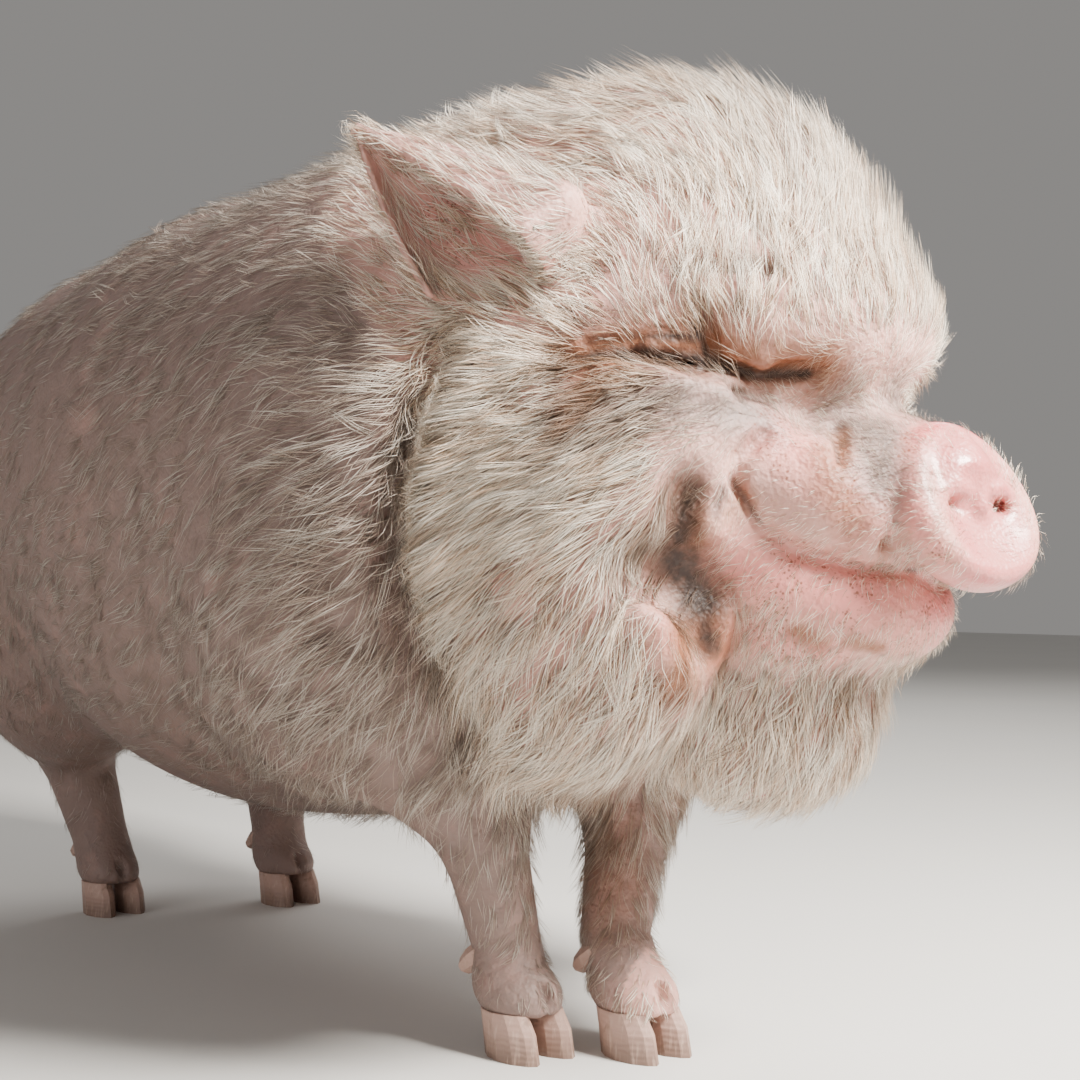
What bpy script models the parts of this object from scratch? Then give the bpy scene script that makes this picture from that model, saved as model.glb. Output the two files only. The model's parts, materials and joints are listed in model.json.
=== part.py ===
"""A white pot-bellied pig as a still, life-size museum model, standing on its four feet.

Metres, nose along +X, the animal's left along +Y, floor at z = 0.
"""

import math

import bmesh
import bpy
import numpy as np
import openvdb
from mathutils import Matrix, Vector
from mathutils.bvhtree import BVHTree

# Driving sizes of the animal
BACK_HEIGHT = 0.55
TRUNK_HALF_WIDTH = 0.215
HEAD_YAW = 12.0
HEAD_PIVOT = (0.07, 0.0, 0.40)
EYE_CENTRE = (0.331, 0.092, 0.384)
EYE_RADIUS = 0.0105
HOOF_HEIGHT = 0.026
HOOF_WIDTH = 0.023
HOOF_LENGTH = 0.045
EAR_ROOT = (0.272, 0.156, 0.434)
EAR_TIP = (0.184, 0.188, 0.514)
EAR_CURL = 85.0
TAIL_LENGTH = 0.17
PAD_YAW = -14.0
PAD_CENTRE = (0.4415, 0.0, 0.311)

# Fineness of the model
CELL = 0.005
SKIN_TRIANGLES = 3900
LOCK_THICKNESS = 0.012
SEED = 7
GAP = 0.0003
CENTRING = (0.0534, 0.0, 0.0)

# Shoulder or hip, elbow or knee, wrist or hock, pastern and foot of each leg, y counted outwards
FORE = {
    "right": (
        (0.150, 0.125, 0.26), (0.166, 0.102, 0.205), (0.199, 0.061, 0.125),
        (0.202, 0.046, 0.062), (0.206, 0.046, 0.042),
    ),
    "left": (
        (0.165, 0.125, 0.26), (0.180, 0.095, 0.205), (0.217, 0.036, 0.125),
        (0.235, 0.010, 0.062), (0.246, 0.008, 0.042),
    ),
}
FORE_RADII = (0.075, 0.050, 0.027, 0.022, 0.024)
HIND = {
    "right": (
        (-0.31, 0.125, 0.27), (-0.31, 0.105, 0.20), (-0.362, 0.080, 0.132),
        (-0.335, 0.070, 0.062), (-0.328, 0.068, 0.042),
    ),
    "left": (
        (-0.29, 0.125, 0.27), (-0.27, 0.105, 0.20), (-0.312, 0.080, 0.132),
        (-0.283, 0.070, 0.062), (-0.276, 0.068, 0.042),
    ),
}
HIND_RADII = (0.08, 0.060, 0.031, 0.024, 0.025)

# Lines on each side of the face
EYE_FOLD = (
    (0.285, 0.15, 0.385), (0.303, 0.137, 0.386), (0.325, 0.124, 0.388), (0.351, 0.094, 0.384),
    (0.366, 0.076, 0.379), (0.385, 0.055, 0.380),
)
CHEEK_FOLD = (
    (0.350, 0.120, 0.335), (0.357, 0.125, 0.317), (0.352, 0.135, 0.282), (0.359, 0.119, 0.263),
    (0.355, 0.104, 0.237),
)
MOUTH = (
    (0.364, 0.096, 0.323), (0.370, 0.082, 0.303), (0.382, 0.062, 0.291), (0.401, 0.034, 0.282),
    (0.426, 0.016, 0.277),
)
MUZZLE_FOLD = ((0.396, 0.045, 0.352), (0.398, 0.050, 0.345), (0.402, 0.058, 0.326))
JOWL_FOLD = (
    (0.234, 0.168, 0.395), (0.223, 0.175, 0.360), (0.213, 0.178, 0.320), (0.211, 0.176, 0.280),
    (0.217, 0.158, 0.235), (0.228, 0.125, 0.190),
)
FOLDS = (
    (EYE_FOLD, 0.006), (CHEEK_FOLD, 0.010), (MOUTH, 0.0045), (MUZZLE_FOLD, 0.0035), (JOWL_FOLD, 0.014),
)
UPPER_LIP = ((0.362, 0.060, 0.322), (0.385, 0.046, 0.316), (0.415, 0.026, 0.306))
LOWER_LIP = ((0.350, 0.078, 0.284), (0.372, 0.056, 0.270), (0.398, 0.026, 0.260), (0.410, 0.006, 0.257))

FAR = 1.0
REACH = 0.06
SIDES = {"right": -1, "left": 1}


def smooth_min(first, second, blend):
    """The lower of two distance fields, rounded where they meet."""
    overlap = np.maximum(blend - np.abs(first - second), 0.0) / blend
    return np.minimum(first, second) - overlap * overlap * blend * 0.25


class Ellipsoid:
    """A rounded mass: its centre, its three half sizes, and its turn in degrees about X, Y and Z."""

    def __init__(self, centre, radii, turn=(0, 0, 0)):
        """Keep the mass's middle, half sizes and turn."""
        self.centre = np.array(centre, float)
        self.radii = np.array(radii, float)
        angles = [math.radians(a) for a in turn]
        rotation = (
            Matrix.Rotation(angles[2], 3, "Z")
            @ Matrix.Rotation(angles[1], 3, "Y")
            @ Matrix.Rotation(angles[0], 3, "X")
        )
        self.rotation = np.array(rotation)

    def ball(self):
        """A centre and radius that hold the form."""
        return self.centre, float(self.radii.max())

    def distance(self, points):
        """How far each point is outside the form."""
        local = (points - self.centre) @ self.rotation
        near = np.linalg.norm(local / self.radii, axis=-1)
        slope = np.linalg.norm(local / self.radii**2, axis=-1)
        return near * (near - 1.0) / np.maximum(slope, 1e-6)


class Limb:
    """A chain of round rods whose radius changes from point to point."""

    def __init__(self, points, radii):
        """Keep the chain's points and a radius for each."""
        self.points = np.array(points, float)
        self.radii = np.broadcast_to(np.array(radii, float), len(self.points))

    def ball(self):
        """A centre and radius that hold the form."""
        low, high = self.points.min(0), self.points.max(0)
        radius = np.linalg.norm(high - low) / 2 + self.radii.max()
        return (low + high) / 2, float(radius)

    def distance(self, points):
        """How far each point is outside the form."""
        found = None
        for i in range(len(self.points) - 1):
            start, along = self.points[i], self.points[i + 1] - self.points[i]
            share = np.clip((points - start) @ along / (along @ along), 0, 1)
            nearest = start + share[..., None] * along
            radius = self.radii[i] + share * (self.radii[i + 1] - self.radii[i])
            gap = np.linalg.norm(points - nearest, axis=-1) - radius
            found = gap if found is None else np.minimum(found, gap)
        return found


class Clay:
    """A block of distances on a grid, shaped by adding and carving rounded forms."""

    def __init__(self, low, high, cell):
        """An empty block between two corners."""
        self.low = np.array(low, float)
        self.cell = cell
        counts = np.ceil((np.array(high) - self.low) / cell).astype(int) + 1
        self.axes = [self.low[i] + cell * np.arange(counts[i]) for i in range(3)]
        self.field = np.full(counts, FAR, np.float32)
        self.frame = np.eye(4)

    def turn(self, matrix):
        """Forms that follow are given in this frame."""
        self.frame = np.array(matrix)

    def window(self, form, blend):
        """The part of the grid that a form can change."""
        centre, radius = form.ball()
        centre = self.frame[:3, :3] @ centre + self.frame[:3, 3]
        reach = radius + max(REACH, blend) + self.cell
        return tuple(
            slice(*np.searchsorted(axis, (c - reach, c + reach)))
            for axis, c in zip(self.axes, centre)
        )

    def distances(self, form, window):
        """A form's distances over part of the grid."""
        grid = np.meshgrid(
            *[axis[part] for axis, part in zip(self.axes, window)], indexing="ij"
        )
        inverse = np.linalg.inv(self.frame)
        points = np.stack(grid, -1) @ inverse[:3, :3].T + inverse[:3, 3]
        return form.distance(points).astype(np.float32)

    def add(self, form, blend=0.02):
        """Put a form on."""
        window = self.window(form, blend)
        new = self.distances(form, window)
        self.field[window] = smooth_min(self.field[window], new, blend)

    def carve(self, form, blend=0.01):
        """Take a form away."""
        window = self.window(form, blend)
        new = self.distances(form, window)
        self.field[window] = -smooth_min(-self.field[window], new, blend)

    def sample(self, points):
        """The field at any points, by linear steps between the grid's values."""
        local = (np.array(points) - self.low) / self.cell
        base = np.clip(local.astype(int), 0, np.array(self.field.shape) - 2)
        share = local - base
        total = 0.0
        for dx in (0, 1):
            for dy in (0, 1):
                for dz in (0, 1):
                    weight = (
                        (share[:, 0] if dx else 1 - share[:, 0])
                        * (share[:, 1] if dy else 1 - share[:, 1])
                        * (share[:, 2] if dz else 1 - share[:, 2])
                    )
                    values = self.field[base[:, 0] + dx, base[:, 1] + dy, base[:, 2] + dz]
                    total = total + weight * values
        return total

    def slope(self, points):
        """Unit vectors that point out of the clay."""
        step = self.cell
        parts = []
        for axis in np.eye(3) * step:
            parts.append(self.sample(points + axis) - self.sample(points - axis))
        out = np.stack(parts, -1)
        return out / np.maximum(np.linalg.norm(out, axis=1, keepdims=True), 1e-9)

    def snap(self, points, steps=6):
        """The points moved on to the surface."""
        points = np.array(points, float)
        world = points @ self.frame[:3, :3].T + self.frame[:3, 3]
        for _ in range(steps):
            world = world - self.slope(world) * self.sample(world)[:, None] * 0.8
        inverse = np.linalg.inv(self.frame)
        return world @ inverse[:3, :3].T + inverse[:3, 3]

    def surface(self, name):
        """The clay's surface as a closed mesh object."""
        grid = openvdb.FloatGrid()
        grid.copyFromArray(self.field)
        points, quads = grid.convertToQuads(isovalue=0.0)
        mesh = bpy.data.meshes.new(name)
        mesh.from_pydata((points * self.cell + self.low).tolist(), [], quads[:, ::-1].tolist())
        made = bpy.data.objects.new(name, mesh)
        bpy.context.scene.collection.objects.link(made)
        return made


def both(point, side):
    """A point of the right or left side, from its distance off the middle."""
    return (point[0], point[1] * side, point[2])


def turned(share):
    """The frame of the head, or part of the way to it."""
    pivot = Vector(HEAD_PIVOT)
    angle = math.radians(HEAD_YAW * share)
    return Matrix.Translation(pivot) @ Matrix.Rotation(angle, 4, "Z") @ Matrix.Translation(-pivot)


def pad_frame():
    """The frame of the snout's pad, turned a little against the head."""
    centre = Vector(PAD_CENTRE)
    yaw = Matrix.Rotation(math.radians(PAD_YAW), 4, "Z")
    return turned(1) @ Matrix.Translation(centre) @ yaw @ Matrix.Translation(-centre)


def crease(clay, points, width):
    """A groove pressed into the surface along the points, given in the clay's present frame."""
    clay.carve(Limb(clay.snap(points), width), width * 0.8)


def trunk(clay):
    """The round body."""
    top, half = BACK_HEIGHT, TRUNK_HALF_WIDTH
    clay.add(Ellipsoid((-0.10, 0, 0.338), (0.33, half, 0.222)), 0.05)
    clay.add(Ellipsoid((-0.33, 0, 0.345), (0.185, 0.19, top - 0.355)), 0.08)
    clay.add(Ellipsoid((0.12, 0, 0.35), (0.19, 0.19, top - 0.35)), 0.08)
    clay.add(Ellipsoid((-0.05, 0, 0.245), (0.25, 0.17, 0.125)), 0.06)
    clay.add(Ellipsoid((0.20, -0.01, 0.245), (0.085, 0.10, 0.10)), 0.05)
    for side in SIDES.values():
        haunch = Ellipsoid(both((-0.34, 0.11, 0.28), side), (0.13, 0.085, 0.15), (0, -12, 0))
        shoulder = Ellipsoid(both((0.14, 0.12, 0.29), side), (0.11, 0.075, 0.14), (0, 10, 0))
        clay.add(haunch, 0.05)
        clay.add(shoulder, 0.05)


def neck(clay):
    """The thick neck, turned part of the way with the head."""
    clay.turn(turned(0.7))
    clay.add(Ellipsoid((0.20, 0, 0.395), (0.15, 0.148, 0.16)), 0.06)
    clay.add(Ellipsoid((0.22, 0, 0.27), (0.12, 0.11, 0.09)), 0.05)
    clay.turn(np.eye(4))


def feet():
    """Each foot's name, side, and the point under its ankle."""
    for part_name, chains in (("front", FORE), ("hind", HIND)):
        for side_name, side in SIDES.items():
            x, y, _ = chains[side_name][-1]
            yield part_name, side_name, (x + 0.006, y * side, 0.0)


def legs(clay):
    """The four legs down to the pasterns."""
    for name, side in SIDES.items():
        for chain, radii in ((FORE[name], FORE_RADII), (HIND[name], HIND_RADII)):
            points = [(p[0], p[1] * side, p[2]) for p in chain]
            clay.add(Limb(points[:3], radii[:3]), 0.03)
            clay.add(Limb(points[2:], radii[2:]), 0.008)
    for _, _, (x, y, _) in feet():
        clay.add(Ellipsoid((x + 0.004, y, 0.033), (0.029, 0.0245, 0.020), (0, 8, 0)), 0.006)


def head(clay):
    """Skull, cheeks, jowls, muzzle, lips and beard pouch, then the folds pressed in."""
    clay.turn(turned(1))
    clay.add(Ellipsoid((0.265, 0, 0.422), (0.124, 0.121, 0.137)), 0.04)
    clay.add(Ellipsoid((0.354, 0, 0.408), (0.060, 0.092, 0.050)), 0.025)
    for side in SIDES.values():
        cheekbone = Ellipsoid(both((0.31, 0.085, 0.345), side), (0.07, 0.05, 0.032), (0, 0, -25 * side))
        clay.add(cheekbone, 0.02)
        clay.add(Ellipsoid(both((0.265, 0.10, 0.29), side), (0.10, 0.070, 0.12)), 0.03)
        clay.add(Limb([both(p, side) for p in UPPER_LIP], (0.034, 0.034, 0.028)), 0.012)
    clay.add(Limb([(0.35, 0, 0.335), (0.425, 0, 0.320)], (0.055, 0.038)), 0.02)
    clay.turn(pad_frame())
    clay.add(Ellipsoid((0.4475, 0, 0.300), (0.015, 0.053, 0.034), (0, -25, 0)), 0.008)
    clay.add(Ellipsoid((0.4370, 0, 0.323), (0.015, 0.043, 0.034), (0, -25, 0)), 0.010)
    clay.turn(turned(1))
    clay.add(Ellipsoid((0.345, 0, 0.252), (0.060, 0.074, 0.046)), 0.012)
    clay.add(Ellipsoid((0.378, 0, 0.256), (0.054, 0.060, 0.036)), 0.012)
    clay.add(Ellipsoid((0.32, 0, 0.20), (0.065, 0.060, 0.055)), 0.02)
    for side in SIDES.values():
        clay.add(Limb([both(p, side) for p in LOWER_LIP], (0.019, 0.021, 0.021, 0.019)), 0.01)
    for side in SIDES.values():
        for points, width in FOLDS:
            crease(clay, [both(p, side) for p in points], width)
    crease(clay, [(0.43, -0.03, 0.272), (0.436, 0, 0.268), (0.43, 0.03, 0.272)], 0.004)
    rim = ((-0.048, 0.30), (-0.045, 0.33), (0, 0.362), (0.045, 0.33), (0.048, 0.30))
    clay.turn(pad_frame())
    crease(clay, [(0.425, y, z) for y, z in rim], 0.004)
    clay.turn(np.eye(4))


def sculpt(cell):
    """The whole animal without ears, tail, eyes and hooves."""
    clay = Clay((-0.58, -0.30, 0.0), (0.52, 0.30, 0.60), cell)
    trunk(clay)
    neck(clay)
    legs(clay)
    head(clay)
    return clay


def as_object(name, points, faces):
    """A mesh object from places and faces."""
    mesh = bpy.data.meshes.new(name)
    mesh.from_pydata([tuple(map(float, p)) for p in points], [], faces)
    made = bpy.data.objects.new(name, mesh)
    bpy.context.scene.collection.objects.link(made)
    return made


def outward(made):
    """Turn the faces of a closed mesh to look out."""
    work = bmesh.new()
    work.from_mesh(made.data)
    bmesh.ops.recalc_face_normals(work, faces=work.faces)
    if work.calc_volume(signed=True) < 0:
        bmesh.ops.reverse_faces(work, faces=work.faces)
    work.to_mesh(made.data)
    work.free()
    return made


def loft(name, rings):
    """A closed body through rings of points; a ring of one point is a tip."""
    points, faces, starts = [], [], []
    for ring in rings:
        starts.append(len(points))
        points.extend(ring)
    for i in range(len(rings) - 1):
        first, second = rings[i], rings[i + 1]
        a, b = starts[i], starts[i + 1]
        count = max(len(first), len(second))
        for k in range(count):
            n = (k + 1) % count
            if len(first) == 1:
                faces.append((a, b + n, b + k))
            elif len(second) == 1:
                faces.append((a + k, a + n, b))
            else:
                faces.append((a + k, a + n, b + n, b + k))
    if len(rings[0]) > 1:
        faces.append(tuple(range(starts[0] + len(rings[0]) - 1, starts[0] - 1, -1)))
    if len(rings[-1]) > 1:
        faces.append(tuple(range(starts[-1], starts[-1] + len(rings[-1]))))
    return outward(as_object(name, points, faces))


def ball(name, centre, radii, turn=(0, 0, 0), across=20, down=12):
    """A rounded mass as a closed mesh."""
    shape = Ellipsoid(centre, radii, turn)
    rings = []
    for j in range(down + 1):
        polar = math.pi * j / down
        around = range(across) if 0 < j < down else range(1)
        ring = []
        for k in around:
            angle = 2 * math.pi * k / across
            unit = np.array(
                (math.sin(polar) * math.cos(angle), math.sin(polar) * math.sin(angle), math.cos(polar))
            )
            ring.append(shape.centre + shape.rotation @ (unit * shape.radii))
        rings.append(ring)
    return loft(name, rings)


def dome(centre, radii, turn, across=14, down=4, spread=90):
    """A thin cap of a shell, its pole along its own Z, used as a cut."""
    shape = Ellipsoid(centre, radii, turn)
    rings = []
    order = [(0.5, j) for j in range(down + 1)] + [(-0.5, j) for j in range(down, -1, -1)]
    for offset, j in order:
        polar = math.radians(spread) * j / down
        ring = []
        for k in range(across if j else 1):
            angle = 2 * math.pi * k / across
            unit = np.array(
                (math.sin(polar) * math.cos(angle), math.sin(polar) * math.sin(angle), math.cos(polar))
            )
            grown = shape.radii + offset * GAP * 1.3
            ring.append(shape.centre + shape.rotation @ (unit * grown))
        rings.append(ring)
    return loft("cut", rings)


def box(low, high):
    """A block between two corners."""
    corners = [(x, y, z) for z in (low[2], high[2]) for x, y in ((0, 0), (1, 0), (1, 1), (0, 1))]
    points = [((low[0], high[0])[x], (low[1], high[1])[y], z) for x, y, z in corners]
    faces = [(3, 2, 1, 0), (4, 5, 6, 7), (0, 1, 5, 4), (1, 2, 6, 5), (2, 3, 7, 6), (3, 0, 4, 7)]
    return as_object("box", points, faces)


def move(made, matrix):
    """Carry an object's points by a frame."""
    made.data.transform(Matrix(matrix))
    return made


def apply_all(made):
    """The object's modifiers made real."""
    graph = bpy.context.evaluated_depsgraph_get()
    mesh = bpy.data.meshes.new_from_object(made.evaluated_get(graph))
    made.modifiers.clear()
    made.data = mesh


def combine(made, tool, operation, solver="EXACT"):
    """Join a tool to the object or take it away, and remove the tool."""
    change = made.modifiers.new("combine", "BOOLEAN")
    change.operation = operation
    change.solver = solver
    change.object = tool
    apply_all(made)
    bpy.data.objects.remove(tool)
    return made


def pieces(made, name):
    """The separate closed surfaces of an object, largest first."""
    work = bmesh.new()
    work.from_mesh(made.data)
    work.verts.ensure_lookup_table()
    label = {}
    groups = []
    for seed in work.verts:
        if seed.index in label:
            continue
        stack, group = [seed], []
        label[seed.index] = len(groups)
        while stack:
            vertex = stack.pop()
            group.append(vertex.index)
            for edge in vertex.link_edges:
                other = edge.other_vert(vertex)
                if other.index not in label:
                    label[other.index] = len(groups)
                    stack.append(other)
        groups.append(group)
    found = []
    for number, group in enumerate(groups):
        index = {old: new for new, old in enumerate(group)}
        faces = [
            tuple(index[v.index] for v in face.verts)
            for face in work.faces
            if label[face.verts[0].index] == number
        ]
        found.append((len(faces), [tuple(work.verts[i].co) for i in group], faces))
    work.free()
    bpy.data.objects.remove(made)
    found.sort(key=lambda item: -volume(item[1], item[2]))
    return [as_object(name, points, faces) for _, points, faces in found]


def volume(points, faces):
    """The volume inside a closed surface."""
    total = 0.0
    for face in faces:
        first = Vector(points[face[0]])
        for k in range(1, len(face) - 1):
            total += first.dot(Vector(points[face[k]]).cross(Vector(points[face[k + 1]]))) / 6
    return total


def split(made, tool, seed, name):
    """Cut an object in two: the piece nearest the seed takes the name."""
    kept = made.name
    combine(made, tool, "DIFFERENCE")
    found = pieces(made, kept)
    parts = []
    for piece in found:
        places = [v.co for v in piece.data.vertices]
        if abs(volume(places, [f.vertices[:] for f in piece.data.polygons])) > 1e-6:
            parts.append(piece)
        else:
            bpy.data.objects.remove(piece)
    seed = Vector(seed)

    def reach(piece):
        """How near a piece comes to the seed."""
        return min((v.co - seed).length for v in piece.data.vertices)

    parts.sort(key=reach)
    part_cut, rest = parts[0], parts[1:]
    part_cut.name = name
    part_cut.data.name = name
    for extra in rest[1:]:
        bpy.data.objects.remove(extra)
    rest[0].name = kept
    return part_cut, rest[0]


def thin_out(made, count):
    """Fewer, larger triangles where the surface is plain."""
    change = made.modifiers.new("thin", "DECIMATE")
    change.ratio = count / (2 * len(made.data.polygons))
    change.use_collapse_triangulate = True
    apply_all(made)


def sound(mesh, reach=5e-6):
    """Whether the mesh stays one closed surface when its closest points are merged."""
    work = bmesh.new()
    work.from_mesh(mesh)
    bmesh.ops.triangulate(work, faces=work.faces)
    bmesh.ops.remove_doubles(work, verts=work.verts, dist=reach)
    answer = all(edge.is_manifold for edge in work.edges)
    work.free()
    return answer


def tidy(made):
    """Triangles only, with no doubled points or slivers where that keeps the body closed."""
    for distance in (5e-5, 1e-5, 0.0):
        work = bmesh.new()
        work.from_mesh(made.data)
        if distance:
            bmesh.ops.remove_doubles(work, verts=work.verts, dist=distance)
            bmesh.ops.dissolve_degenerate(work, dist=distance, edges=work.edges)
        bmesh.ops.triangulate(work, faces=work.faces)
        changed = bpy.data.meshes.new(made.name)
        work.to_mesh(changed)
        work.free()
        if sound(changed) or not distance:
            made.data = changed
            return


def fuse(made, blade):
    """Join one blade to the body if the result is sound."""
    before = made.data
    combine(made, blade, "UNION", "MANIFOLD")
    if not sound(made.data):
        made.data = before


def ear(side):
    """A pointed, cupped ear, open outward, its front edge rolled over."""
    root = np.array(both(EAR_ROOT, side))
    tip = np.array(both(EAR_TIP, side))
    front = np.array(both((0.53, -0.49, 0.70), side))
    out = np.array(both((0.535, 0.828, 0.174), side))
    along = tip - root
    rings = []
    for t in (-0.12, 0.03, 0.25, 0.45, 0.65, 0.83, 0.97):
        wide = 0.046 * max(1 - max(t, 0) ** 1.5, 0.05)
        deep = 0.026 * max(1 - max(t, 0) ** 1.3, 0.05)
        thick = 0.0055 - 0.003 * max(t, 0)
        outer, inner = [], []
        for k in range(10):
            angle = math.radians(EAR_CURL - (EAR_CURL + 185) * k / 9)
            c, s = math.cos(angle), math.sin(angle)
            centre = root + along * t + out * min(t, 0) * 0.28
            outer.append(centre + front * wide * c + out * deep * s)
            inner.append(centre + front * (wide - thick) * c + out * (deep - thick) * s)
        if t > 0.9:
            inner = [p * 0.5 + q * 0.5 for p, q in zip(inner, outer)]
        rings.append(outer + inner[::-1])
    return move(loft("ear", rings), turned(1))


def tube(name, path, radii, across=10):
    """A round rod along a path, closed at both ends."""
    path = [np.array(p, float) for p in path]
    rings = []
    for i, centre in enumerate(path):
        ahead = path[min(i + 1, len(path) - 1)] - path[max(i - 1, 0)]
        ahead = ahead / np.linalg.norm(ahead)
        sideways = np.cross(ahead, (0, 1, 0))
        sideways = sideways / np.linalg.norm(sideways)
        upward = np.cross(sideways, ahead)
        angles = [2 * math.pi * k / across for k in range(across)]
        around = [math.cos(a) * sideways + math.sin(a) * upward for a in angles]
        rings.append([centre + radii[i] * way for way in around])
    return loft(name, rings)


def tail():
    """A straight hanging tail."""
    path = [(-0.480, 0, 0.432), (-0.505, 0, 0.434), (-0.525, 0, 0.430)]
    path += [(-0.540, 0, 0.420), (-0.549, 0.001, 0.403)]
    hanging = TAIL_LENGTH - 0.05
    for t in np.linspace(0, 1, 6):
        path.append((-0.553 - 0.004 * math.sin(3 * t), 0.006 * t, 0.38 - hanging * t))
    return tube("tail", path, np.linspace(0.017, 0.006, len(path)))


def claw(place, side):
    """One of the two main claws of a foot, flat underneath."""
    x, y, _ = place
    rings = []
    for height, length, width, shift in (
        (0.0, 1.0, 1.0, 0.004),
        (0.6, 0.97, 0.99, 0.001),
        (1.0, 0.86, 0.90, -0.004),
    ):
        ring = []
        for k in range(12):
            angle = 2 * math.pi * k / 12
            c, s = math.cos(angle), math.sin(angle)
            narrow = 1 - 0.35 * max(c, 0) ** 2
            ring.append(
                (
                    x + 0.010 + shift + length * HOOF_LENGTH / 2 * c,
                    y + side * (HOOF_WIDTH / 2 + 0.0012) + width * HOOF_WIDTH / 2 * s * narrow,
                    height * HOOF_HEIGHT,
                )
            )
        rings.append(ring)
    return loft("claw", rings)


def dewclaw(place, side, grow=0.0):
    """One of the two small raised claws behind a foot."""
    x, y, _ = place
    start = np.array((x - 0.014, y + side * 0.013, 0.056))
    ahead = np.array((-0.016, side * 0.004, -0.012))
    path = [start + ahead * t for t in (0, 0.5, 0.85, 1.0 + grow / 0.02)]
    radii = [0.008 + grow, 0.0075 + grow, 0.0055 + grow, 0.003 + grow]
    return tube("dewclaw", path, radii, 7)


def finish(name):
    """Colour and roughness by the kind of node."""
    if name.startswith(("hoof", "dewclaw")):
        return (0.42, 0.27, 0.22), 0.5
    if name.startswith("eye"):
        return (0.06, 0.03, 0.02), 0.15
    if name == "snout":
        return (0.80, 0.45, 0.42), 0.4
    if name in ("torso", "neck", "head", "tail"):
        return (0.80, 0.70, 0.60), 0.85
    return (0.82, 0.60, 0.54), 0.7


def paint(made, name, colour, roughness):
    """Name the part and give it its own plain material."""
    made.name = name
    made.data.name = name
    skin = bpy.data.materials.new(name)
    skin.use_nodes = True
    shader = skin.node_tree.nodes["Principled BSDF"]
    shader.inputs["Base Color"].default_value = (*colour, 1)
    shader.inputs["Roughness"].default_value = roughness
    shader.inputs["Metallic"].default_value = 0.0
    made.data.materials.clear()
    made.data.materials.append(skin)
    for face in made.data.polygons:
        face.use_smooth = True


def ear_slab(clay, shell):
    """A flat cut just outside the head, through the line where the ear leaves it."""
    points = np.array([v.co for v in shell.data.vertices])
    field = clay.sample(points)
    near = points[np.abs(field - 0.004) < 0.004]
    middle = near.mean(0)
    _, _, axes = np.linalg.svd(near - middle)
    normal = axes[2]
    if (points.mean(0) - middle) @ normal < 0:
        normal = -normal
    up, across = axes[0], np.cross(normal, axes[0])
    frame = Matrix((
        (*up, 0),
        (*across, 0),
        (*normal, 0),
        (0, 0, 0, 1),
    )).transposed()
    frame.translation = middle + normal * 0.003
    return move(box((-0.085, -0.085, -GAP / 2), (0.085, 0.085, GAP / 2)), frame)


def carve_eyes(body, nodes, place):
    """Sockets and eye slits in the head, and an eye in each."""
    for name, side in SIDES.items():
        socket = ball("socket", both(EYE_CENTRE, side), [EYE_RADIUS + 2 * GAP] * 3, across=12, down=8)
        x, y, z = EYE_CENTRE
        opening = both((x + 0.005, y + 0.012, z), side)
        slit = ball("slit", opening, (0.012, 0.016, 0.0028), (0, 0, 35 * side), across=10, down=6)
        combine(body, move(socket, place), "DIFFERENCE")
        combine(body, move(slit, place), "DIFFERENCE")
        eye = ball("eye", both(EYE_CENTRE, side), [EYE_RADIUS] * 3, across=12, down=8)
        nodes["eye_" + name] = move(eye, place)


def carve_nostrils(body, place):
    """A blind hole for each nostril."""
    for side in SIDES.values():
        mouth = both((0.452, 0.017, 0.312), side)
        nostril = ball("nostril", mouth, (0.016, 0.0075, 0.0095), across=10, down=6)
        combine(body, move(nostril, place), "DIFFERENCE")


def cut_legs(body, nodes):
    """Each leg parts from the trunk along a dome over its shoulder or thigh."""
    front = ("front", FORE, (0.075, 0.060, 0.125))
    hind = ("hind", HIND, (0.080, 0.062, 0.14))
    for part_name, chains, radii in (front, hind):
        for side_name, side in SIDES.items():
            x, y, _ = chains[side_name][2]
            inset = 0.018 if part_name == "front" and side_name == "right" else 0.010
            cut = dome((x + 0.004, (y + inset) * side, 0.118), radii, (0, 0, 0))
            name = "leg_%s_%s" % (part_name, side_name)
            nodes[name], body = split(body, cut, both(chains[side_name][3], side), name)
    return body


def shoe(nodes):
    """Claws under and behind every foot."""
    for part_name, side_name, place in feet():
        leg = nodes["leg_%s_%s" % (part_name, side_name)]
        x, y, _ = place
        below = box((x - 0.1, y - 0.1, -0.02), (x + 0.1, y + 0.1, HOOF_HEIGHT + GAP))
        combine(leg, below, "DIFFERENCE")
        for claw_name, side in (("outer", SIDES[side_name]), ("inner", -SIDES[side_name])):
            tail_name = "%s_%s_%s" % (part_name, side_name, claw_name)
            nodes["hoof_" + tail_name] = claw(place, side)
            combine(leg, dewclaw(place, side, GAP), "DIFFERENCE")
            nodes["dewclaw_" + tail_name] = dewclaw(place, side)


def unit(vector):
    """The vector at a length of one."""
    return vector / max(np.linalg.norm(vector), 1e-9)


def head_lie(point):
    """Which way the hair of the head lies, from a point in the head's frame."""
    x, y, z = point
    out = math.copysign(1.0, y)
    if z > 0.385:
        share = min(max((x - 0.22) / 0.12, 0), 1)
        return np.array((-1.0 + 0.75 * share, 0.15 * out, 0.2 + 0.8 * share))
    if x > 0.30 and z < 0.25 and abs(y) < 0.085:
        return np.array((-0.15, 0.35 * y / 0.08, -1.0))
    share = min(max((0.385 - z) / 0.16, 0), 1)
    return np.array((-1.0, 0.0, -0.15 - 0.85 * math.sin(math.pi * min(share * 1.1, 1)) ** 0.7))


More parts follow.
